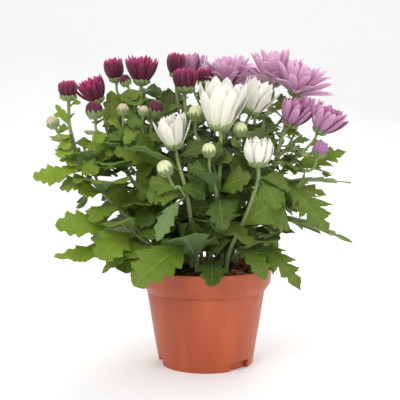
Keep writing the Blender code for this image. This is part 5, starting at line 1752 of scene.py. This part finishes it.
def make_stems(leaves, extras, paints):
    """Each rooted shoot with its side shoots, cups and leaves as one piece."""
    routes = fine_routes()
    rng = random.Random(SEED)
    skins = {}
    for shoot in SHOOTS:
        skin = skins.setdefault(OWNERS[shoot.name], Skin())
        route = routes[shoot.name]
        radii = np.linspace(*(SIDE_RADII if shoot.parent else MAIN_RADII), len(route))
        pipe(skin, route, radii, FINE_SIDES, 0.5, 0)
        if shoot.name in HEADS_BY_NAME:
            fine_cup(skin, HEADS_BY_NAME[shoot.name], rng, (0, 3))
    for columns, group in ((LEAF_COLUMNS, leaves), (EXTRA_COLUMNS, extras)):
        for owner, shoot, leaf in group:
            style = "cut" if owner.startswith("stem_lilac") else "round"
            placed = leaf._replace(root=nearest(routes[shoot], np.asarray(leaf.root, float)))
            fine_leaf(skins[owner], placed, style, rng, (1, 2), columns)
    for owner, skin in skins.items():
        hand_in(skin.build(owner.replace("stem", "leafy_stem"), paints["stem"]), owner, "stem")


def make_heads(petals, paints):
    """Each bud and each flower head as a piece."""
    rng = random.Random(SEED + 1)
    for head in HEADS:
        skin = Skin()
        if head.kind == "bud":
            fine_bud(skin, head, 0)
            flushed = head.colour == "green" and OWNERS[head.name].startswith("stem_burgundy")
            paint = paints["bud flushed" if flushed else "bud " + head.colour]
            hand_in(skin.build("closed_bud_" + head.name, paint, 60), "bud_" + head.name, head.colour)
        else:
            deep = head.colour == "lilac" and head.kind == "vase"
            fine_bloom(skin, head, petals["bloom_" + head.name], rng, (2, 3) if deep else (0, 1))
            piece = skin.build("flower_" + head.name, paints[head.colour])
            hand_in(piece, "bloom_" + head.name, head.colour)


def make_pot(paints):
    """The pot with a rounded rim, a soft step, three foot notches and its drain holes."""
    skin = Skin()
    lathe(skin, np.zeros(3), (0, 0, 1), POT_OUTSIDE + POT_INSIDE, POT_FINE_SIDES, 0.5, 0)
    piece = skin.build("grower_pot", paints["pot"], POT_SHARP)
    cutters = [wedge(angle) for angle in NOTCH_ANGLES]
    for i in range(DRAIN_COUNT):
        spot = np.array((*round_spot(DRAIN_RING, math.tau * i / DRAIN_COUNT), 0))
        cutters.append(tube([spot + (0, 0, -2), spot + (0, 0, FLOOR + 2)], (DRAIN_RADIUS,) * 2, DRAIN_SIDES))
    group = bpy.data.collections.new("pot_cutters")
    bpy.context.scene.collection.children.link(group)
    for points, triangles in cutters:
        mesh = bpy.data.meshes.new("pot_cutter")
        mesh.from_pydata((points * METRES).tolist(), [], triangles.tolist())
        group.objects.link(bpy.data.objects.new("pot_cutter", mesh))
    cut = piece.modifiers.new("Cut", "BOOLEAN")
    cut.operation = "DIFFERENCE"
    cut.operand_type = "COLLECTION"
    cut.collection = group
    cut.solver = "EXACT"
    bpy.context.view_layer.update()
    graph = bpy.context.evaluated_depsgraph_get()
    mesh = bpy.data.meshes.new_from_object(piece.evaluated_get(graph))
    piece.modifiers.clear()
    piece.data = mesh
    mesh.set_sharp_from_angle(angle=math.radians(POT_SHARP))
    for helper in list(group.objects):
        bpy.data.objects.remove(helper)
    bpy.data.collections.remove(group)
    hand_in(piece, "pot", "pot")


def soil_top(x, y):
    """The soil's surface with its clods and grains, and the low heap against the rim."""
    spot = Vector((x, y, 0.0))
    clods = noise.fractal(spot * 0.16, 0.6, 2.0, 4)
    grains = noise.noise(spot * 0.9)
    heap = HEAP_RISE * math.exp(-((x - HEAP_SPOT[0]) ** 2 + (y - HEAP_SPOT[1]) ** 2) / HEAP_REACH ** 2)
    return soil_height(x, y) + CLODS * clods + GRAINS * grains + heap


def fibre(skin, rng, start, kind):
    """A loose root fibre that curls over the soil."""
    heading = rng.uniform(0, math.tau)
    length, radius, lift = (rng.uniform(*span) for span in kind)
    points = []
    x, y = start
    bend = rng.uniform(-0.5, 0.5)
    for i in range(FIBRE_STEPS):
        rise = lift * math.sin(math.pi * i / (FIBRE_STEPS - 1))
        points.append((x, y, soil_top(x, y) + radius + rise))
        heading += bend + rng.uniform(-0.3, 0.3)
        x += math.cos(heading) * length / FIBRE_STEPS
        y += math.sin(heading) * length / FIBRE_STEPS
        if math.hypot(x, y) > SOIL_TOP_EDGE - 1.5:
            heading += 1.5
            x, y = x * 0.96, y * 0.96
    route = smooth(points, 3)
    pipe(skin, route, np.linspace(radius, 0.45 * radius, len(route)), 5, rng.random(), 0)


def crumb(skin, rng, spot, size):
    """An uneven lump of soil."""
    rings = []
    for row in range(CRUMB_ROWS):
        tilt = math.pi * (row + 0.5) / CRUMB_ROWS
        ring = []
        for side in range(CRUMB_SIDES):
            reach = size * rng.uniform(0.7, 1.15)
            x, y = round_spot(reach * math.sin(tilt), math.tau * side / CRUMB_SIDES)
            ring.append((spot[0] + x, spot[1] + y, spot[2] - 0.8 * reach * math.cos(tilt)))
        rings.append(ring)
    skin.rounds(rings, rng.random(), 0)


def make_soil(paints):
    """The soil block, its crumbs and its loose fibres."""
    block, crumbs, fibres = Skin(), Skin(), Skin()
    turn = np.arange(SOIL_FINE_SIDES) * math.tau / SOIL_FINE_SIDES
    circle = np.stack((np.cos(turn), np.sin(turn)), -1)
    rings = [np.column_stack((circle * radius, np.full(SOIL_FINE_SIDES, height)))
             for radius, height in ((SOIL_MIDDLE, SOIL_FOOT), *SOIL_SIDE)]
    for radius in (*np.linspace(SOIL_TOP_EDGE, 2.0, SOIL_FINE_RINGS), 0.5):
        spots = circle * radius
        rings.append(np.column_stack((spots, [soil_top(x, y) for x, y in spots])))
    block.rounds(rings, 0.5, 0)
    rng = random.Random(SEED + 2)
    for _ in range(CRUMBS):
        radius = (SOIL_TOP_EDGE - 1.5) * math.sqrt(rng.random())
        x, y = round_spot(radius, rng.uniform(0, math.tau))
        size = rng.uniform(*CRUMB_SIZES) + CRUMB_SPREAD * rng.random() ** 4
        crumb(crumbs, rng, (x, y, soil_top(x, y) + 0.3 * size), size)
    for _ in range(FIBRES):
        radius = (SOIL_TOP_EDGE - 4) * math.sqrt(rng.random())
        fibre(fibres, rng, round_spot(radius, rng.uniform(0, math.tau)), LOOSE)
    for count, angles, radii, kind in HEAPED:
        for _ in range(count):
            angle = rng.uniform(*angles)
            fibre(fibres, rng, round_spot(rng.uniform(*radii), angle), kind)
    parts = (("potting_soil_block", block, 180), ("soil_crumbs", crumbs, 30), ("root_fibres", fibres, 180))
    for (name, skin, sharp), paint in zip(parts, paints["soil"]):
        hand_in(skin.build(name, [paint], sharp), "soil", "soil")


# Stage

def make_stage():
    """A pale floor that curves up into a pale backdrop."""
    rows = [(y, 0.0) for y in (*FLOOR_ROWS, BACKDROP)]
    for i in range(1, BACKDROP_STEPS + 1):
        angle = math.radians(90 / BACKDROP_STEPS * i)
        rows.append((BACKDROP + BACKDROP_BEND * math.sin(angle), BACKDROP_BEND * (1 - math.cos(angle))))
    rows.append((BACKDROP + BACKDROP_BEND, BACKDROP_TOP))
    points = [(x, y, z) for y, z in rows for x in (-BACKDROP_HALF, BACKDROP_HALF)]
    faces = [(2 * i, 2 * i + 1, 2 * i + 3, 2 * i + 2) for i in range(len(rows) - 1)]
    mesh = bpy.data.meshes.new("floor")
    mesh.from_pydata(points, [], faces)
    mesh.shade_smooth()
    mesh.materials.append(floor_material())
    floor = linked("floor", mesh)


def make_light():
    """A white sky and three soft lamps that face the plant."""
    world = bpy.data.worlds.new("studio")
    bpy.context.scene.world = world
    world.use_nodes = True
    background = world.node_tree.nodes["Background"]
    background.inputs["Color"].default_value = (1.0, 1.0, 1.0, 1.0)
    background.inputs["Strength"].default_value = SKY
    bpy.context.scene.view_settings.view_transform = "Standard"
    for name, spot, size, power in LIGHTS:
        light = bpy.data.lights.new(name, "AREA")
        light.shape = "SQUARE"
        light.size = size
        light.energy = power
        made = linked(name, light)
        made.location = spot
        way = Vector(LIGHT_TARGET) - Vector(spot)
        made.rotation_euler = way.to_track_quat("-Z", "Y").to_euler()


def make_camera():
    data = bpy.data.cameras.new("camera")
    data.lens = CAMERA_LENS
    data.sensor_width = CAMERA_SENSOR
    made = linked("camera", data)
    made.location = CAMERA_SPOT
    made.rotation_euler = (math.pi / 2 - CAMERA_PITCH, 0.0, 0.0)
    bpy.context.scene.camera = made


def main():
    make_camera()
    make_light()
    make_stage()
    paints = materials()
    leaves, extras, petals = laid_out()
    make_pot(paints)
    make_soil(paints)
    make_stems(leaves, extras, paints)
    make_heads(petals, paints)


main()
